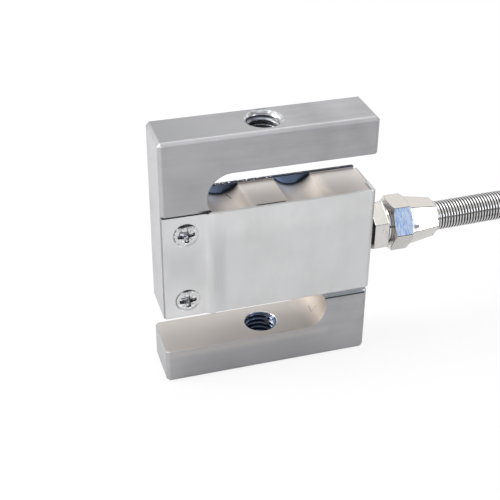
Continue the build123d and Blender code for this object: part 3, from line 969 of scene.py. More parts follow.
# Darker middle tone of the plate, and painted light and shade of the joggle; the bright grey is also a
# painted highlight stripe on the gland's collar
COVER_DARK = (0.455, 0.46, 0.465, 1.0)
COVER_BRIGHT = (0.72, 0.72, 0.72, 1.0)
COVER_METAL = MetalFinish(
    "folded cover sheet",
    colour=grey(0.61),
    tint=grey(0.57, -0.01),
    # Lighter edges: rubbed wear and a painted edge highlight
    edge=grey(0.66),
    roughness=0.36,
    grain=Grain.ALONG_Z,
    grain_amount=0.06,
    cloud=0.42,
    cloud_scale=75.0,
    streak=0.30,
    streak_lay=(0.35, 1.0, 0.16),
    streak_scale=420.0,
    metallic=0.75,
    wear_and_sheen=0.15,
    wear_radius=0.0003,
    zones=(
        # Darker middle of the plate and of the flange
        Zone(
            COVER_DARK,
            (-14.5, -8, 18),
            (27, -7, 41),
            soft=(6.0, 1.0, 8.0),
            amount=0.82,
            facing=Side.FRONT,
        ),
        Zone(
            COVER_DARK,
            (-27, -7, 25),
            (-14.5, -6.2, 40),
            soft=(4.0, 0.1, 6.0),
            amount=0.6,
            facing=Side.FRONT,
        ),
        # Light and shade of the joggle, and a light foot of the flange
        Zone(COVER_BRIGHT, (-16.2, -7.2, 15), (-14.4, -6.2, 50), soft=(0.7, 0.1, 0.1), amount=0.1),
        Zone(COVER_DARK, (-14.9, -7.5, 17), (-10.4, -6.5, 44), soft=(1.4, 0.1, 10.0), amount=0.8),
        Zone(
            COVER_BRIGHT,
            (-26, -7, 18),
            (-16, -6.2, 23),
            soft=(2.0, 0.1, 3.0),
            amount=0.35,
            facing=Side.FRONT,
        ),
        # Painted shade in the gap along the flange's upper edge
        Zone(
            GAP_SHADE_AND_SCRATCH,
            (-25.3, -6.5, 45.4),
            (-13.6, -5.4, 46.2),
            soft=(0.2, 0.05, 0.1),
            amount=0.9,
            facing=Side.TOP,
        ),
    ),
)
LEFT_RIM = (-8.9, 5.55, 49.15)
RIGHT_RIM = (8.9, 5.55, 49.15)
REAR_COVER_METAL = replace(
    COVER_METAL,
    name="rear cover sheet",
    wear_and_sheen=0.0,
    wear_radius=0.0001,
    zones=(
        # Painted blue light on the inner face, painted light at the left and painted shade toward the right
        # of each relief bore
        Zone(SHEET_BLUE, (-30, 5.4, 10), (30, 6.25, 50), soft=(0.1, 0.04, 0.1), roughness=0.3),
        Zone(
            SHEET_PALE,
            (-12.8, 5.4, 43.6),
            (-9.2, 6.2, 45.5),
            soft=(1.0, 0.04, 0.6),
            amount=0.35,
            facing=Side.FRONT,
        ),
        Zone(
            SHEET_SHADE,
            (-9.5, 5.4, 40),
            (0, 6.2, 46),
            soft=(4.0, 0.04, 0.6),
            amount=0.95,
            facing=Side.FRONT,
        ),
        Zone(
            SHEET_SHADE,
            (9.5, 5.4, 40),
            (18, 6.2, 46),
            soft=(3.5, 0.04, 0.6),
            amount=0.9,
            facing=Side.FRONT,
        ),
        # Painted warm reflection in strips on the sheet's upper edge, between and beside the bores
        Zone(BEIGE_SLOT_REFLECTION, (-4.5, 5.4, 45.2), (4.5, 5.65, 45.85), soft=(0.25, 0.1, 0.1)),
        Zone(BEIGE_SLOT_REFLECTION, (13.3, 5.4, 45.2), (24.8, 5.65, 45.85), soft=(0.25, 0.1, 0.1)),
        # Painted shade on the rims of the relief bores on the sheet
        *arc_strokes(LEFT_RIM, radius=5.75, first=190, last=318, pieces=6, width=0.34, colour=SHEET_SHADE),
        *arc_strokes(LEFT_RIM, radius=5.5, first=282, last=315, pieces=3, width=0.62, colour=SHEET_SHADE),
        *arc_strokes(RIGHT_RIM, radius=5.5, first=290, last=315, pieces=3, width=0.55, colour=SHEET_SHADE),
        *arc_strokes(RIGHT_RIM, radius=5.75, first=222, last=318, pieces=6, width=0.30, colour=SHEET_SHADE),
        # Painted shade on the upper edge, with painted glints
        Zone(SHEET_SHADE, (-30, 5.4, 45.75), (30, 6.5, 50), soft=(0.1, 0.04, 0.1)),
        Zone(
            WHITE_GLINT,
            (-30, 5.4, 45.7),
            (4, 6.5, 50),
            soft=(0.1, 0.1, 0.3),
            speck_scale=2600.0,
            speck_level=0.56,
        ),
        Zone(
            WHITE_GLINT,
            (4, 5.9, 45.7),
            (30, 6.5, 50),
            soft=(0.1, 0.1, 0.3),
            amount=0.7,
            speck_scale=2600.0,
            speck_level=0.62,
        ),
    ),
)
# Painted shade in the screw recesses and painted glints on the heads
SCREW_RECESS_SHADE = (0.15, 0.155, 0.17, 1.0)
SCREW_GLINT = (0.95, 0.96, 1.0, 1.0)
SCREW_METAL = MetalFinish(
    "bright screw plate",
    colour=grey(0.56),
    tint=grey(0.48, 0.01),
    edge=grey(0.9),
    roughness=0.12,
    grain=Grain.EVEN,
    grain_scale=1600.0,
    grain_amount=0.55,
    cloud=0.2,
    cloud_scale=500.0,
    wear_and_sheen=0.0,
    wear_radius=0.00005,
    bump=0.5,
    zones=(
        # Painted shade in the recess and round the rim, a painted dark reflection on the dome, and painted
        # glints
        Hollow(SCREW_RECESS_SHADE, amount=0.94, low=0.1, high=0.4, roughness=0.15),
        Zone(SCREW_GLINT, amount=0.8, speck_scale=1500.0, speck_level=0.575, roughness=0.1),
    ),
)
# Painted reflections, shade and a highlight on the nickel-plated gland
NUT_DARK_REFLECTION = (0.10, 0.10, 0.12, 1.0)
NUT_BROWN_REFLECTION = (0.30, 0.26, 0.23, 1.0)
EDGE_DARK_REFLECTION = (0.07, 0.06, 0.055, 1.0)
NUT_BLUE = (0.35, 0.42, 0.52, 1.0)
TAPER_BLUE = (0.12, 0.135, 0.155, 1.0)
SPOT_DARK_REFLECTION = (0.05, 0.048, 0.05, 1.0)
HEX_TOP_REFLECTION = (0.215, 0.207, 0.195, 1.0)
HEX_FRONT_REFLECTION = (0.575, 0.555, 0.55, 1.0)
NUT_TOP_REFLECTION = (0.74, 0.695, 0.64, 1.0)
NICKEL_METAL = MetalFinish(
    "nickel plated brass",
    colour=(0.655, 0.635, 0.605, 1.0),
    tint=(0.60, 0.57, 0.53, 1.0),
    # Dark edges: painted dark reflections along the facet edges
    edge=(0.13, 0.11, 0.10, 1.0),
    roughness=0.13,
    grain=Grain.ALONG_Z,
    grain_scale=3500.0,
    grain_amount=0.16,
    cloud=0.35,
    cloud_scale=260.0,
    streak=0.30,
    streak_lay=(1.0, 1.0, 0.12),
    streak_scale=1500.0,
    wear_and_sheen=0.8,
    wear_radius=0.0003,
    bump=0.25,
    zones=(
        # Painted reflections on the front, top and upper facets of the hexagon and the nut, and painted
        # brown reflection streaks on the hexagon
        Zone(HEX_FRONT_REFLECTION, (26.7, -8, 20), (30.2, 8, 40), amount=0.8, facing=Side.FRONT),
        Zone(NUT_TOP_REFLECTION, (31.9, -8, 35), (43.9, 8, 44), amount=0.7, facing=Side.TOP),
        Zone(HEX_TOP_REFLECTION, (26.7, -8, 34), (30.1, 8, 44), soft=(0.1, 0.1, 1.0), facing=Side.HEX_UPPER),
        Zone(
            NUT_BROWN_REFLECTION,
            (26.5, -8, 20),
            (30.3, 8, 44),
            amount=0.5,
            speck_scale=2600.0,
            speck_lay=(1, 0.1, 0.1),
        ),
        # Blue brushed reflection on the nut's upper front facet
        Zone(
            NUT_BLUE,
            (31.9, -8, 31),
            (36.5, 8, 40),
            soft=(0.1, 0.1, 0.3),
            facing=Side.NUT_UPPER,
            speck_scale=3400.0,
            speck_level=0.46,
            speck_soft=0.12,
            speck_lay=(1, 0.15, 0.15),
        ),
        # Painted dark reflections along the edges between the facets of the taper and the nut
        Stroke((36.6, -3.0, 37.2), (43.8, -2.375, 36.11), width=0.17, colour=EDGE_DARK_REFLECTION, amount=0.9),
        Stroke((36.6, -6.0, 32.0), (43.8, -4.75, 32.0), width=0.12, colour=EDGE_DARK_REFLECTION, amount=0.8),
        Stroke((31.9, -3.4, 37.89), (36.4, -3.4, 37.89), width=0.12, colour=EDGE_DARK_REFLECTION, amount=0.8),
        Stroke((31.9, -6.8, 32.0), (36.4, -6.8, 32.0), width=0.12, colour=EDGE_DARK_REFLECTION, amount=0.8),
        # Painted blue shade and a painted dark reflection spot on the taper's upper front facet
        Zone(
            TAPER_BLUE,
            (36.4, -8, 31),
            (37.9, 8, 40),
            soft=(0.5, 0.1, 0.5),
            amount=0.95,
            facing=Side.NUT_UPPER,
            speck_scale=800.0,
            speck_level=0.3,
            speck_soft=0.18,
        ),
        Stroke((37.3, -5.24, 33.05), (37.9, -5.16, 33.05), width=0.6, colour=SPOT_DARK_REFLECTION, amount=1.0),
        # Painted dark reflection and a painted highlight stripe on the collar between hexagon and nut, and
        # a painted brown reflection on the nut's shoulder
        Zone(NUT_DARK_REFLECTION, (30.25, -8, 20), (31.75, 8, 44), soft=(0.35, 0.1, 0.1), amount=0.85),
        Zone(COVER_BRIGHT, (30.8, -8, 20), (31.3, 8, 44), soft=(0.15, 0.1, 0.1), amount=0.9),
        Zone(NUT_BROWN_REFLECTION, (36.3, -8, 31), (36.8, 8, 44), soft=(0.2, 0.1, 1.0), amount=0.5),
    ),
)
# Painted shade in the gaps between the spring's turns
SPRING_GAP_SHADE = (0.012, 0.012, 0.018, 1.0)
SPRING_METAL = MetalFinish(
    "bright spring wire",
    colour=grey(0.70, 0.01),
    tint=grey(0.62, 0.02),
    edge=grey(0.85),
    roughness=0.1,
    grain=Grain.EVEN,
    grain_amount=0.04,
    cloud=0.05,
    wear_and_sheen=0.0,
    wear_radius=0.00005,
    # Painted shade in the gaps between the turns
    zones=(Hollow(SPRING_GAP_SHADE, low=0.02, high=0.36, roughness=0.5),),
)
# Painted shade and a painted blue reflection in the upper hole, and the plain steel of its mouth
MOUTH_GREY = (0.14, 0.15, 0.16, 1.0)
MOUTH_BLUE_REFLECTION = (0.05, 0.058, 0.08, 1.0)
THREAD_SHADE = (0.10, 0.11, 0.13, 1.0)
MOUTH_STEEL = (0.52, 0.52, 0.53, 1.0)
THREAD_METAL = MetalFinish(
    "cut thread",
    colour=grey(0.46),
    tint=grey(0.40, -0.02),
    edge=grey(0.8),
    roughness=0.26,
    grain=Grain.EVEN,
    grain_scale=1500.0,
    grain_amount=0.5,
    cloud=0.1,
    wear_and_sheen=0.0,
    wear_radius=0.00005,
    zones=(
        Hollow(THREAD_SHADE, amount=0.85, low=0.3, high=0.9, roughness=0.35),
        # Countersunk mouth, with painted glints and dark specks
        Zone(MOUTH_STEEL, (-6, -6, 63.3), (6, 6, 64.2), soft=(0.1, 0.1, 0.15), roughness=0.35),
        Zone(WHITE_GLINT, (-6, -6, 63.2), (6, 6, 64.2), speck_scale=1900.0, speck_level=0.56),
        Zone(BODY_DARK, (-6, -6, 63.0), (6, 6, 64.2), amount=0.8, speck_scale=1300.0, speck_level=0.55),
        # Painted shade on the mouth's back, and a painted blue reflection on the back of the hole below it
        Zone(MOUTH_GREY, (-2.6, 0, 63.3), (2.4, 6, 64.2), soft=(0.9, 0.1, 0.1), amount=0.85, roughness=0.3),
        Zone(MOUTH_BLUE_REFLECTION, (-3.0, 0, 54), (2.6, 6, 63.3), soft=(1.3, 0.1, 0.2), amount=0.85),
    ),
)
# Painted shade in the lower thread's roots and painted glints on its flanks
THREAD_ROOT_SHADE = (0.004, 0.006, 0.013, 1.0)
FLANK_GLINT = (0.62, 0.66, 0.72, 1.0)
BLUE_REFLECTION_THREAD_METAL = MetalFinish(
    "cut thread with painted blue reflection",
    # Dark blue: a painted blue reflection on dark metal
    colour=(0.115, 0.16, 0.25, 1.0),
    tint=(0.08, 0.11, 0.18, 1.0),
    edge=grey(0.5),
    roughness=0.2,
    grain=Grain.EVEN,
    grain_amount=0.08,
    cloud=0.1,
    wear_and_sheen=0.0,
    wear_radius=0.00005,
    zones=(
        # Painted shade in the thread's roots
        Hollow(THREAD_ROOT_SHADE, low=0.3, high=0.9, roughness=0.3),
        # Glints on the right flanks
        Zone(
            FLANK_GLINT,
            (1.8, -6, 5.0),
            (6, 6, 8.9),
            soft=(1.2, 0.1, 2.0),
            amount=0.8,
            speck_scale=700.0,
            speck_level=0.45,
        ),
    ),
)
TINNED_METAL = MetalFinish(
    "tinned copper",
    colour=grey(0.62, 0.01),
    tint=grey(0.55, 0.02),
    edge=grey(0.8),
    roughness=0.3,
    grain=Grain.EVEN,
    wear_and_sheen=0.0,
)
COPPER_METAL = MetalFinish(
    "enamelled copper",
    colour=(0.62, 0.30, 0.16, 1),
    tint=(0.5, 0.22, 0.1, 1),
    edge=(0.7, 0.4, 0.25, 1),
    roughness=0.3,
    grain=Grain.EVEN,
    wear_and_sheen=0.0,
)
RUBBER_BLACK = SoftFinish("black seal rubber", (0.02, 0.02, 0.022, 1), roughness=0.6, dust=0.15)
JACKET_VINYL = SoftFinish("cable jacket", (0.035, 0.035, 0.038, 1), roughness=0.42, mottle=0.2, dust=0.12)
SLEEVE_SHRINK = SoftFinish("shrink sleeve", (0.015, 0.015, 0.016, 1), roughness=0.55)
TIE_NYLON = SoftFinish("natural nylon", (0.74, 0.74, 0.70, 1), roughness=0.35, subsurface=0.2)
SILICONE_WHITE = SoftFinish("cavity silicone", (0.66, 0.66, 0.63, 1), roughness=0.4, subsurface=0.2)
BOARD_GREEN = SoftFinish("solder resist", (0.03, 0.16, 0.06, 1), roughness=0.35)
RESISTOR_BLACK = SoftFinish("resistor body", (0.02, 0.02, 0.02, 1), roughness=0.45)
GAUGE_AMBER = SoftFinish("gauge film", (0.55, 0.26, 0.06, 1), roughness=0.25)
WIRE_COLOURS = {
    "red": SoftFinish("red insulation", (0.50, 0.02, 0.02, 1), roughness=0.4),
    "green": SoftFinish("green insulation", (0.02, 0.26, 0.06, 1), roughness=0.4),
    "white": SoftFinish("white insulation", (0.76, 0.76, 0.73, 1), roughness=0.4),
    "black": SoftFinish("black insulation", (0.02, 0.02, 0.02, 1), roughness=0.4),
}


MADE: dict[str, bpy.types.Material] = {}


def finished(finish: MetalFinish | SoftFinish) -> bpy.types.Material:
    """The material of a finish, built once.

    Args:
        finish: the finish.

    Returns:
        Its material.
    """
    if finish.name not in MADE:
        MADE[finish.name] = finish.material()
    return MADE[finish.name]


# Surfaces


def grid_faces(rows: int, columns: int, close: bool = False) -> Array:
    """Quads of a grid whose points run row by row and whose rows are closed rings.

    Args:
        rows: number of rows of points.
        columns: points in a row.
        close: whether the last row joins the first.

    Returns:
        Corner indices, four to a face.
    """
    last = rows if close else rows - 1
    row, column = np.meshgrid(np.arange(last), np.arange(columns), indexing="ij")
    here = row * columns + column
    right = row * columns + (column + 1) % columns
    below = (row + 1) % rows * columns
    return np.stack([here, right, below + (column + 1) % columns, below + column], -1).reshape(-1, 4)


@dataclass(frozen=True)
class Shell:
    """A closed surface: its points in millimetres, its quads and the triangles of its poles."""

    points: Array
    quads: Array
    triangles: Array

    def faces(self) -> list[list[int]]:
        """Corner indices of every face, turned outward by the sign of the enclosed volume.

        The volume is a sixth of the sum of a . (b x c) over the triangles a, b, c.

        Returns:
            The faces.
        """
        halves = [self.quads[:, [0, 1, 2]], self.quads[:, [0, 2, 3]], self.triangles]
        corners = self.points[np.concatenate(halves)]
        volume = np.einsum("ij,ij->i", corners[:, 0], np.cross(corners[:, 1], corners[:, 2])).sum()
        step = -1 if volume < 0 else 1
        return self.quads[:, ::step].tolist() + self.triangles[:, ::step].tolist()


def mesh_piece(
    name: str,
    shell: Shell,
    finish: MetalFinish | SoftFinish,
    hollow: Array | None = None,
    crease: float = 35.0,
) -> bpy.types.Object:
    """Make a smooth mesh object from a closed surface.

    Args:
        name: the piece's name.
        shell: its surface.
        finish: its finish.
        hollow: share of painted shade at each point, mostly from its depth in the piece's hollows, from 0
            to 1.
        crease: edges sharper than this many degrees stay sharp.

    Returns:
        The object, linked to the scene.
    """
    mesh = bpy.data.meshes.new(name)
    mesh.from_pydata((shell.points * MM).tolist(), [], shell.faces())
    mesh.update()
    mesh.polygons.foreach_set("use_smooth", np.ones(len(mesh.polygons), bool))
    mesh.set_sharp_from_angle(angle=math.radians(crease))
    if hollow is not None:
        layer = mesh.attributes.new(HOLLOW_NAME, "FLOAT", "POINT")
        layer.data.foreach_set("value", np.asarray(hollow, np.float32))
    mesh.materials.append(finished(finish))
    made = bpy.data.objects.new(name, mesh)
    bpy.context.scene.collection.objects.link(made)
    return made


def capped_rings(rings: Array) -> Shell:
    """Close a stack of rings with one pole at each end, at the mean of its end ring.

    Args:
        rings: points by ring, then round the ring, then coordinates.

    Returns:
        The closed surface.
    """
    count, around = rings.shape[:2]
    points = np.concatenate([rings.reshape(-1, 3), rings[0].mean(0)[None], rings[-1].mean(0)[None]])
    index = np.arange(around)
    following = (index + 1) % around
    pole = count * around
    last = (count - 1) * around
    first_fan = np.stack([np.full(around, pole), following, index], -1)
    last_fan = np.stack([np.full(around, pole + 1), last + index, last + following], -1)
    return Shell(points, grid_faces(count, around), np.concatenate([first_fan, last_fan]))


def closed_rings(rings: Array) -> Shell:
    """Join the last ring of a stack to its first, as the skin of a tube that is closed on itself.

    Args:
        rings: points by ring, then round the ring, then coordinates.

    Returns:
        The closed surface.
    """
    count, around = rings.shape[:2]
    return Shell(rings.reshape(-1, 3), grid_faces(count, around, close=True), np.zeros((0, 3), int))


def smooth_step(value: Array, low: float, high: float) -> Array:
    """0 below low, 1 above high, and 3s^2 - 2s^3 of the share s between them.

    Args:
        value: the values.
        low: where the step starts.
        high: where it ends.

    Returns:
        The steps.
    """
    share = np.clip((value - low) / (high - low), 0, 1)
    return share * share * (3 - 2 * share)


def flat_sheet(name: str, width: float, height: float) -> bpy.types.Mesh:
    """One rectangle about the origin, half a width and half a height to each side.

    Args:
        name: the mesh's name.
        width: its size along X, in metres.
        height: its size along Y, in metres.

    Returns:
        The mesh.
    """
    x, y = width / 2, height / 2
    mesh = bpy.data.meshes.new(name)
    mesh.from_pydata([(-x, -y, 0.0), (x, -y, 0.0), (x, y, 0.0), (-x, y, 0.0)], [], [[0, 1, 2, 3]])
    return mesh


def dress(node: str, finish: MetalFinish | SoftFinish) -> None:
    """Give a carried-over CAD node its finish.

    Args:
        node: the node's name.
        finish: its finish.
    """
    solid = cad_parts[node]
    solid.data.materials.clear()
    solid.data.materials.append(finished(finish))
    LOG.info("dressed %s with %s", node, finish.name)


def place(piece: bpy.types.Object, slot: Slot, *nodes: str) -> bpy.types.Object:
    """Attach a new piece to the body and hide the CAD nodes that it stands for.

    Args:
        piece: the piece.
        slot: the record's slot; not used.
        nodes: CAD nodes that it replaces.

    Returns:
        The piece.
    """
    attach(piece, "root")
    if nodes:
        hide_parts(*nodes)
    LOG.info("made %s with %d faces", piece.name, len(getattr(piece.data, "polygons", [])))
    return piece


@dataclass
class PhotoCamera:
    """The camera of the photograph, fitted to the body's corners."""

    eye: Point = (-64.574, -200.323, 162.035)
    right: Point = (0.957099, -0.289659, 0.007647)
    down: Point = (-0.147961, -0.511248, -0.846601)
    forward: Point = (0.249135, 0.80915, -0.532173)
    focal_pixels: float = 1043.867
    picture: float = 500.0
    sensor: float = 36.0
    nearest: float = 0.01

    def make(self) -> bpy.types.Object:
        """Create the camera and make it the scene's.

        Returns:
            The camera.
        """
        data = bpy.data.cameras.new("photo_camera")
        data.sensor_width = self.sensor
        data.lens = self.sensor * self.focal_pixels / self.picture
        data.clip_start = self.nearest
        camera = bpy.data.objects.new("photo_camera", data)
        turn = Matrix([self.right, -Vector(self.down), -Vector(self.forward)]).transposed()
        camera.matrix_world = Matrix.Translation(Vector(self.eye) * MM) @ turn.to_4x4()
        bpy.context.scene.collection.objects.link(camera)
        bpy.context.scene.camera = camera
        return camera


@dataclass
class SignalCable:
    """The free cable: out of the spring, down onto a tied hank, and out again to its bare wires."""

    radius: float = 2.5
    spring_end: float = 82.0
    mid_height: float = 32.0
    first_run: float = 15.0
    drop_angle: float = 30.0
    landing_z: float = 22.1
    hank_x: float = 113.0
    hank_straight: float = 55.0
    turn_radius: float = 17.5
    layer: float = 4.75
    bundle_sides: tuple[int, ...] = (0, 1, -1, -1, 1, 1, -1, -1, 1)
    bundle_layers: tuple[int, ...] = (4, 3, 3, 2, 2, 1, 1, 0, 0)
    change_from: float = 0.52
    change_to: float = 0.74
    points_per_turn: int = 26
    tail_stub: float = 15.0
    tail_run: float = 16.0
    tail_z: float = 3.0
    tie_places: tuple[float, float] = (128.0, 152.0)
    tie_lift: float = 1.2
    lift_from: float = 3.0
    lift_to: float = 19.0
    bevel_steps: int = 5
    curve_steps: int = 4
    spline_order: int = 3
    far_pieces: tuple[str, ...] = (
        "end_sleeve",
        "end_wire_red",
        "end_wire_green",
        "end_wire_white",
        "end_wire_black",
        "end_wire_drain",
        "cable_tie_near",
        "cable_tie_far",
    )

    def landing(self) -> tuple[float, float]:
        """Where the cable levels out over the hank, and where it meets the hank's top turn.

        Returns:
            The two places along X.
        """
        drop = (self.mid_height - self.landing_z) / math.sin(math.radians(self.drop_angle))
        level = self.spring_end + self.first_run + drop * math.cos(math.radians(self.drop_angle))
        return level, level + self.first_run

    def racetrack(self, along: Array, radius: Array) -> tuple[Array, Array]:
        """Plan of a folded turn: two straight runs joined by two half circles about the loop centres.

        The turn is walked clockwise from above. Its first straight part runs toward +X at y = 0 for the
        middle radius, then half a circle about the far loop's centre, back toward -X, and half a circle
        about the near loop's centre.

        Args:
            along: turns walked, whose fraction says where in the turn a point is.
            radius: loop radius at each point.

        Returns:
            X and Y of the points.
        """
        arc = math.pi * self.turn_radius
        whole = 2 * (self.hank_straight + arc)
        walked = (along % 1.0) * whole
        run = self.hank_straight
        outward = np.clip(walked, 0, run)
        back = np.clip(walked - run - arc, 0, run)
        far_turn = np.clip((walked - run) / arc, 0, 1) * math.pi
        near_turn = np.clip((walked - 2 * run - arc) / arc, 0, 1) * math.pi
        heading = far_turn + near_turn
        x = self.hank_x + outward - back + radius * np.sin(heading)
        y = -self.turn_radius + radius * np.cos(heading)
        return x, y

    def hank_points(self, landing_x: float) -> Array:
        """Centre line of the folded turns, from the top turn down to the foot of the outer side.

        Each turn keeps its place in the bundle, inner or outer and a layer, and moves on to the next
        place along the run toward -X, by a smooth step. The bundle is lifted over the straps of the ties.

        Args:
            landing_x: where the top turn starts.

        Returns:
            Points in millimetres.
        """
        side = np.array(self.bundle_sides) * self.radius
        layer = np.array(self.bundle_layers) * self.layer + self.radius
        lowest = len(side) - 1
        layer[0] = self.landing_z
        arc = math.pi * self.turn_radius
        whole = 2 * (self.hank_straight + arc)
        first = (landing_x - self.hank_x) / whole
        last = lowest + (2 * self.hank_straight + arc) / whole
        along = np.linspace(first, last, int((last - first) * self.points_per_turn) + 1)
        turn = np.minimum(along.astype(int), lowest)
        following = np.minimum(turn + 1, lowest)
        change = smooth_step(along - turn, self.change_from, self.change_to)
        shift = side[turn] + (side[following] - side[turn]) * change
        height = layer[turn] + (layer[following] - layer[turn]) * change
        x, y = self.racetrack(along, self.turn_radius + shift)
        middle = -self.turn_radius
        near = np.where(y < middle, np.abs(x - self.tie_places[0]), np.inf)
        far = np.where(y > middle, np.abs(x - self.tie_places[1]), np.inf)
        lift = self.tie_lift * (1 - smooth_step(np.minimum(near, far), self.lift_from, self.lift_to))
        return np.stack([x, y, height + lift], -1)

    def route(self) -> Array:
        """The whole route's points, in millimetres.

        Returns:
            Points, from the spring's end to the bare wires.
        """
        level, landing = self.landing()
        head = np.array(
            [
                (self.spring_end, 0, self.mid_height),
                (self.spring_end + self.first_run, 0, self.mid_height),
                (level, 0, self.landing_z),
            ]
        )
        hank = self.hank_points(landing)
        tail_x = self.hank_x - self.tail_stub
        tail_y = -2 * self.turn_radius - self.radius
        tail = np.array(
            [
                (tail_x, tail_y, self.tail_z),
                (tail_x - self.tail_run / 2, tail_y, self.tail_z),
                (tail_x - self.tail_run, tail_y, self.tail_z),
            ]
        )
        return np.concatenate([head, hank, tail])

    def build(self) -> bpy.types.Object:
        """Returns:
            The curve object.
        """
        points = self.route() * MM
        data = bpy.data.curves.new("signal_cable_run", "CURVE")
        data.dimensions = "3D"
        data.bevel_depth = self.radius * MM
        data.bevel_resolution = self.bevel_steps
        data.resolution_u = self.curve_steps
        data.use_fill_caps = True
        spline = data.splines.new("NURBS")
        spline.points.add(len(points) - 1)
        rows = np.concatenate([points, np.ones((len(points), 1))], 1)
        spline.points.foreach_set("co", rows.ravel())
        spline.order_u = self.spline_order
        spline.use_endpoint_u = True
        data.materials.append(finished(JACKET_VINYL))
        cable = bpy.data.objects.new("signal_cable_run", data)
        bpy.context.scene.collection.objects.link(cable)
        place(cable, Slot.JACKET, "signal_cable", "cable_hank", "cable_tail")
        return cable


@dataclass
class HelixSpring:
    """Close-wound spring that guards the cable at the gland."""

    outer: float = 3.6
    wire: float = 0.375
    pitch: float = 0.757
    start: float = 37.4
    length: float = 44.6
    clamped_to: float = 43.8
    bow: float = 0.3
    gap_shade: float = 1.9
    steps_per_turn: int = 36
    steps_round: int = 10

    def build(self, mid_height: float) -> bpy.types.Object:
        """Points c(t) + wire * (cos(u) * n(t) + sin(u) * X), with the helix c(t) and its radial n(t).

        Past the nut the coil bows up by bow * sin^2(pi s), with s the share of its free length.

        Args:
            mid_height: the axis' height.

        Returns:
            The spring.
        """
        start = self.start + self.wire
        turns = (self.length - 2 * self.wire) / self.pitch
        angle = np.linspace(0, 2 * math.pi * turns, int(turns * self.steps_per_turn) + 1)
        middle = self.outer - self.wire
        x = start + self.pitch * angle / (2 * math.pi)
        share = (x - self.clamped_to) / (self.start + self.length - self.clamped_to)
        lift = self.bow * np.sin(math.pi * np.clip(share, 0, 1)) ** 2
        centre = np.stack([x, middle * np.cos(angle), mid_height + lift + middle * np.sin(angle)], -1)
        radial = np.stack([np.zeros_like(angle), np.cos(angle), np.sin(angle)], -1)
        side = np.array([1.0, 0.0, 0.0])
        around = np.linspace(0, 2 * math.pi, self.steps_round, endpoint=False)
        cosine, sine = np.cos(around), np.sin(around)
        rings = (
            centre[:, None]
            + self.wire * cosine[None, :, None] * radial[:, None]
            + self.wire * sine[None, :, None] * side
        )
        # Painted shade, darkest on the side of the wire toward the spring's axis
        depth = np.tile((1 - cosine) / 2, len(angle))
        hollow = np.concatenate([depth, [1.0, 1.0]]) * self.gap_shade
        piece = mesh_piece("strain_relief_helix", capped_rings(rings), SPRING_METAL, hollow, crease=80.0)
        return place(piece, Slot.SPRING, "strain_relief_spring")


@dataclass
class LoadThread:
    """Right-hand thread in one load hole: ridges that stand out of the hole's wall."""

    name: str
    low: float
    high: float
    finish: MetalFinish
    major: float = 4.0
    clearance: float = 0.02
    backing: float = 4.25
    depth: float = 0.65
    pitch: float = 1.25
    root_share: float = 0.14
    flank_share: float = 0.72
    fade: float = 0.8
    mouth_high: float = 0.0
    mouth_flare: float = 1.2
    around: int = 112
    per_turn: int = 16

    def build(self) -> bpy.types.Object:
        """Radius r(a, z) = major - clearance - depth * w(f), f the fraction of z / pitch - a / 2 pi.

        w is a triangle wave with a flat crest and a flat root, and fades out toward both mouths. Above
        the thread the radius grows with the height, as the mouth's countersink. The ring is closed by
        a backing inside the metal.

        Returns:
            The thread.
        """
        top = self.high + self.mouth_high
        rows = int((top - self.low) / self.pitch * self.per_turn) + 1
        height = np.linspace(self.low, top, rows)[:, None]
        angle = np.linspace(0, 2 * math.pi, self.around, endpoint=False)[None, :]
        part = (height / self.pitch - angle / (2 * math.pi)) % 1.0
        wave = np.clip((1 - 2 * np.abs(part - 0.5) - self.root_share) / self.flank_share, 0, 1)
        ends = smooth_step(height, self.low, self.low + self.fade)
        ends = ends * (1 - smooth_step(height, self.high - self.fade, self.high))
        flare = self.mouth_flare * np.clip(height - self.high, 0, None)
        radius = self.major - self.clearance - self.depth * wave * ends + flare
        front = np.stack([radius * np.cos(angle), radius * np.sin(angle), height + 0 * angle], -1)
        circle = np.stack([np.cos(angle), np.sin(angle), 0 * angle], -1)
        back_high = circle * (self.backing + self.mouth_flare * self.mouth_high) + np.array([0, 0, top])
        back_low = circle * self.backing + np.array([0, 0, self.low])
        rings = np.concatenate([front, back_high, back_low])
        # Painted shade, deepest at the thread's roots
        depth = np.concatenate([(1 - wave).ravel(), np.ones(2 * self.around)])
        piece = mesh_piece(self.name, closed_rings(rings), self.finish, depth, crease=60.0)
        return place(piece, Slot.BODY)


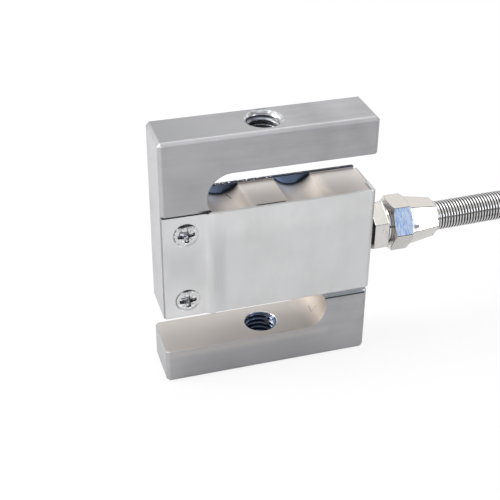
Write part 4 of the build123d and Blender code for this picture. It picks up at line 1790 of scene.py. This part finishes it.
@dataclass
class ScrewHead:
    """Raised countersunk screw with a cross recess, in place of one cover screw's solid."""

    node: str
    centre: Point
    side: int
    radius: float = 2.85
    crown: float = 0.35
    sunk: float = 0.2
    turn: float = 4.0
    arm_length: float = 2.05
    arm_width: float = 0.66
    arm_taper: float = 0.2
    arm_rise: float = 0.45
    flank_run: float = 0.16
    tip_run: float = 0.25
    bowl_radius: float = 0.8
    bowl_run: float = 0.2
    tick_depth: float = 0.16
    tick_width: float = 0.09
    tick_run: float = 0.05
    tick_from: float = 0.7
    tick_to: float = 1.7
    # Painted shade in the gap round the head, strongest at the upper left
    ring_from: float = 0.9
    ring_to: float = 0.97
    ring_least: float = 0.35
    # An oval painted dark reflection on the dome
    patch: tuple[float, float] = (-1.15, 0.95)
    patch_reach: tuple[float, float] = (0.85, 0.40)
    patch_from: float = 0.6
    patch_to: float = 1.1
    # The recess's painted shade fades out toward the head's upper side
    lit_from: float = 0.45
    lit_to: float = 0.8
    recess: float = 1.1
    rim_height: float = 0.12
    first_ring: float = 0.02
    rings: int = 60
    around: int = 168
    cone_radius: float = 1.5
    cone_depth: float = 1.35
    shank_end: float = 5.2

    def hollow_depth(self, x: Array, z: Array) -> Array:
        """Depth of the recess, from 0 to 1, at points of the head.

        Each arm is as deep as its edges allow, with sloping flanks and a bottom that rises outward, and
        four fine ticks stand between the arms.

        Args:
            x: first coordinate on the head.
            z: second coordinate on the head.

        Returns:
            The depth.
        """
        turn = math.radians(self.turn)
        along = x * math.cos(turn) + z * math.sin(turn)
        across = z * math.cos(turn) - x * math.sin(turn)
        deepest = np.zeros_like(x)
        for first, second in ((along, across), (across, along)):
            reach = np.abs(first)
            width = self.arm_width - self.arm_taper * reach / self.arm_length
            flank = np.clip((width - np.abs(second)) / self.flank_run, 0, 1)
            tip = np.clip((self.arm_length - reach) / self.tip_run, 0, 1)
            bottom = 1 - self.arm_rise * reach / self.arm_length
            deepest = np.maximum(deepest, np.minimum(flank, tip) * bottom)
        distance = np.hypot(x, z)
        bowl = np.clip((self.bowl_radius - distance) / self.bowl_run, 0, 1)
        diagonal = np.minimum(np.abs(along - across), np.abs(along + across)) / math.sqrt(2)
        between = (distance > self.tick_from) & (distance < self.tick_to)
        tick = self.tick_depth * np.clip((self.tick_width - diagonal) / self.tick_run, 0, 1)
        return np.maximum(np.maximum(deepest, bowl), tick * between)

    def rim_shade_and_reflection(self, x: Array, z: Array) -> Array:
        """Painted shade in the gap round the head, strongest at the upper left, and an oval painted dark
        reflection on the dome.

        Args:
            x: first coordinate on the head.
            z: second coordinate on the head.

        Returns:
            The grime, from 0 to 1.
        """
        reach = np.hypot(x, z) / self.radius
        toward = (z - x) / (math.sqrt(2) * self.radius)
        upper_left = np.clip(self.ring_least + (1 - self.ring_least) * toward, 0, 1)
        ring = smooth_step(reach, self.ring_from, self.ring_to) * upper_left
        along = (x - self.patch[0] + z - self.patch[1]) / (math.sqrt(2) * self.patch_reach[0])
        across = (z - self.patch[1] - x + self.patch[0]) / (math.sqrt(2) * self.patch_reach[1])
        dark_reflection = 1 - smooth_step(np.hypot(along, across), self.patch_from, self.patch_to)
        return np.maximum(ring, dark_reflection)

    def build(self) -> bpy.types.Object:
        """Height over the sheet is crown - (crown + sunk) * (r / radius)^2, less the recess.

        Below the rim, three more rings make the cone and the shank.

        Returns:
            The screw.
        """
        share = np.linspace(self.first_ring, 1, self.rings)
        radius = (self.radius * share)[:, None]
        angle = np.linspace(0, 2 * math.pi, self.around, endpoint=False)[None, :]
        x, z = radius * np.cos(angle), radius * np.sin(angle)
        hollow = self.hollow_depth(x, z)
        dome = self.crown - (self.crown + self.sunk) * (radius / self.radius) ** 2
        top = np.stack([x, z, dome - self.recess * hollow], -1)
        reach = np.array([self.radius, self.cone_radius, self.cone_radius])[:, None]
        depths = np.array([self.sunk + self.rim_height, self.sunk + self.cone_depth, self.shank_end])
        level = 0 * angle - depths[:, None]
        below = np.stack([reach * np.cos(angle), reach * np.sin(angle), level], -1)
        shell = capped_rings(np.concatenate([top, below]))
        points = shell.points
        # Painted shade: the recess's depth, less toward the head's upper side, with the rim's shade and the
        # dark reflection
        unlit = 1 - smooth_step(z, self.lit_from, self.lit_to)
        painted_shade = np.maximum(hollow * unlit, self.rim_shade_and_reflection(x, z))
        depth = np.concatenate([painted_shade.ravel(), np.ones(len(below) * self.around), [1.0, 1.0]])
        laid = np.stack([points[:, 0], self.side * points[:, 2], points[:, 1]], -1) + np.array(self.centre)
        laid_shell = Shell(laid, shell.quads, shell.triangles)
        piece = mesh_piece(f"{self.node}_head", laid_shell, SCREW_METAL, depth, crease=40.0)
        return place(piece, Slot.FASTENER, self.node)


@dataclass(frozen=True)
class Card:
    """A flat card beside the set that only shows in gloss, such as a dark flag or a pale screen."""

    name: str
    middle: Point
    width: float
    height: float
    colour: Colour
    strength: float
    aim: Point = (0.0, 0.0, 0.035)

    def build(self) -> bpy.types.Object:
        """Stand the card at its place, turned to the cell.

        Returns:
            The card.
        """
        mesh = flat_sheet(self.name, self.width, self.height)
        paint, nodes = new_material(self.name)
        glow = nodes.add("ShaderNodeEmission", {"Color": self.colour, "Strength": self.strength})
        nodes.add("ShaderNodeOutputMaterial", {"Surface": glow.outputs[0]})
        mesh.materials.append(paint)
        card = bpy.data.objects.new(self.name, mesh)
        card.location = self.middle
        look = Vector(self.aim) - Vector(self.middle)
        card.rotation_euler = look.to_track_quat("Z", "Y").to_euler()
        card.visible_camera = False
        card.visible_diffuse = False
        card.visible_shadow = False
        card.visible_transmission = False
        card.visible_volume_scatter = False
        bpy.context.scene.collection.objects.link(card)
        return card


@dataclass(frozen=True)
class Lamp:
    """A soft square lamp that looks at the cell."""

    name: str
    middle: Point
    size: float
    watts: float
    colour: Point = (1.0, 1.0, 1.0)
    aim: Point = (0.0, 0.0, 0.03)

    def build(self) -> bpy.types.Object:
        """Hang the lamp.

        Returns:
            The lamp.
        """
        data = bpy.data.lights.new(self.name, "AREA")
        data.size = self.size
        data.energy = self.watts
        data.color = self.colour
        lamp = bpy.data.objects.new(self.name, data)
        lamp.location = self.middle
        look = Vector(self.aim) - Vector(self.middle)
        lamp.rotation_euler = look.to_track_quat("-Z", "Y").to_euler()
        bpy.context.scene.collection.objects.link(lamp)
        return lamp


@dataclass
class Studio:
    """White sweep, soft lamps, gloss cards and the world."""

    floor_size: float = 6.0
    world_strength: float = 0.5
    floor_seen: float = 0.86
    floor_gloss: float = 0.25
    shadow_reach: float = 0.22
    floor_colour: Colour = (0.86, 0.85, 0.84, 1.0)
    backdrop: Colour = (1.0, 1.0, 1.0, 1.0)
    room_light: Colour = (0.93, 0.96, 1.0, 1.0)
    lamps: tuple[Lamp, ...] = (
        Lamp("left_lamp", (-0.75, 0.15, 0.35), 0.5, 7.6),
        Lamp("top_lamp", (0.1, 0.1, 0.8), 0.6, 3.2),
        Lamp("front_lamp", (0.58, -0.62, 0.31), 0.3, 1.6, (0.95, 0.97, 1.0)),
    )
    cards: tuple[Card, ...] = (
        Card("blue_screen", (0.308, -0.58, 0.325), 0.22, 0.2, (0.50, 0.64, 0.92, 1.0), 1.35),
        Card("dark_flag", (0.25, -0.8, 0.12), 1.4, 0.16, (0.0, 0.0, 0.0, 1.0), 0.0),
    )

    def world(self) -> None:
        """White for camera, transmission and gloss, dimmer for diffuse light."""
        world = bpy.data.worlds.new("studio")
        bpy.context.scene.world = world
        world.use_nodes = True
        world.node_tree.nodes.clear()
        nodes = Nodes(world.node_tree)
        path = nodes.add("ShaderNodeLightPath")
        seen = nodes.maths("MAXIMUM", path.outputs["Is Camera Ray"], path.outputs["Is Transmission Ray"])
        show = nodes.maths("MAXIMUM", seen, path.outputs["Is Glossy Ray"])
        room = {"Color": self.room_light, "Strength": self.world_strength}
        dim = nodes.add("ShaderNodeBackground", room)
        white = nodes.add("ShaderNodeBackground", {"Color": self.backdrop, "Strength": 1.0})
        mixed = nodes.add("ShaderNodeMixShader", {0: show, 1: dim.outputs[0], 2: white.outputs[0]})
        nodes.add("ShaderNodeOutputWorld", {"Surface": mixed.outputs[0]})

    def floor(self) -> bpy.types.Object:
        """A pale floor that keeps a faint shadow near the cell and fades to the backdrop's white.

        Returns:
            The floor.
        """
        paint, nodes = new_material("pale floor")
        path = nodes.add("ShaderNodeLightPath")
        distance = nodes.vector_maths("LENGTH", nodes.object_place())
        far = nodes.ramp(distance, self.shadow_reach, 2 * self.shadow_reach)
        faded = nodes.maths("MAXIMUM", far, self.floor_seen)
        seen = nodes.maths("MULTIPLY", path.outputs["Is Camera Ray"], faded)
        gloss = nodes.maths("MULTIPLY", path.outputs["Is Glossy Ray"], self.floor_gloss)
        share = nodes.maths("MAXIMUM", seen, gloss)
        matt = nodes.add("ShaderNodeBsdfDiffuse", {"Color": self.floor_colour})
        glow = nodes.add("ShaderNodeEmission", {"Color": self.backdrop, "Strength": 1.0})
        mixed = nodes.add("ShaderNodeMixShader", {0: share, 1: matt.outputs[0], 2: glow.outputs[0]})
        nodes.add("ShaderNodeOutputMaterial", {"Surface": mixed.outputs[0]})
        mesh = flat_sheet("floor", self.floor_size, self.floor_size)
        mesh.materials.append(paint)
        floor = bpy.data.objects.new("floor", mesh)
        bpy.context.scene.collection.objects.link(floor)
        return floor

    def build(self) -> None:
        """Set up the whole studio."""
        self.world()
        self.floor()
        for lamp in self.lamps:
            lamp.build()
        for card in self.cards:
            card.build()


def dress_solids() -> None:
    """Finishes of the CAD nodes that stay."""
    dress("s_body", BODY_METAL)
    dress("front_cover", COVER_METAL)
    dress("rear_cover", REAR_COVER_METAL)
    for level in ("upper", "lower"):
        for side in ("left", "right"):
            dress(f"strain_gauge_{level}_{side}", GAUGE_AMBER)
            dress(f"gauge_lead_{level}_{side}", COPPER_METAL)
    dress("terminal_board", BOARD_GREEN)
    for side in ("left", "right"):
        dress(f"trim_resistor_{side}", RESISTOR_BLACK)
    for side in ("front", "rear"):
        dress(f"{side}_cavity_seal", SILICONE_WHITE)
    for name, finish in WIRE_COLOURS.items():
        dress(f"inner_core_{name}", finish)
        dress(f"end_wire_{name}", finish)
    dress("end_wire_drain", TINNED_METAL)
    dress("end_sleeve", SLEEVE_SHRINK)
    for node in ("gland_washer", "cable_grommet"):
        dress(node, RUBBER_BLACK)
    for node in ("gland_body", "gland_nut", "clamp_ring"):
        dress(node, NICKEL_METAL)
    dress("cable_entry", JACKET_VINYL)
    for node in ("cable_tie_near", "cable_tie_far"):
        dress(node, TIE_NYLON)


@dataclass(frozen=True)
class CellPlan:
    """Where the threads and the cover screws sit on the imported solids, in millimetres."""

    upper_thread: tuple[float, float] = (55.2, 63.5)
    lower_thread: tuple[float, float] = (0.5, 8.8)
    mouth_high: float = 0.49
    front_y: float = -6.35
    rear_y: float = 6.35
    screw_x: float = -19.75
    upper_screw_z: float = 40.8
    lower_screw_z: float = 23.2

    def threads(self) -> list[LoadThread]:
        """The two load threads.

        Returns:
            The upper and the lower thread.
        """
        return [
            LoadThread("upper_load_thread", *self.upper_thread, THREAD_METAL, mouth_high=self.mouth_high),
            LoadThread("lower_load_thread", *self.lower_thread, BLUE_REFLECTION_THREAD_METAL),
        ]

    def screws(self) -> list[ScrewHead]:
        """The four cover screws.

        Returns:
            The screws, front ones first.
        """
        heights = (("upper", self.upper_screw_z), ("lower", self.lower_screw_z))
        faces = (("front", self.front_y, -1), ("rear", self.rear_y, 1))
        return [
            ScrewHead(f"{side}_cover_screw_{level}", (self.screw_x, face, height), turned)
            for side, face, turned in faces
            for level, height in heights
        ]


def main() -> None:
    """Build the camera, the cable, the pieces and the studio."""
    logging.basicConfig(level=logging.INFO, format="%(message)s")
    scene = bpy.context.scene
    scene.view_settings.view_transform = "Standard"
    PhotoCamera().make()
    cable = SignalCable()
    cable.build()
    HelixSpring().build(cable.mid_height)
    plan = CellPlan()
    for thread in plan.threads():
        thread.build()
    for screw in plan.screws():
        screw.build()
    dress_solids()
    Studio().build()


if __name__ == "__main__":
    main()
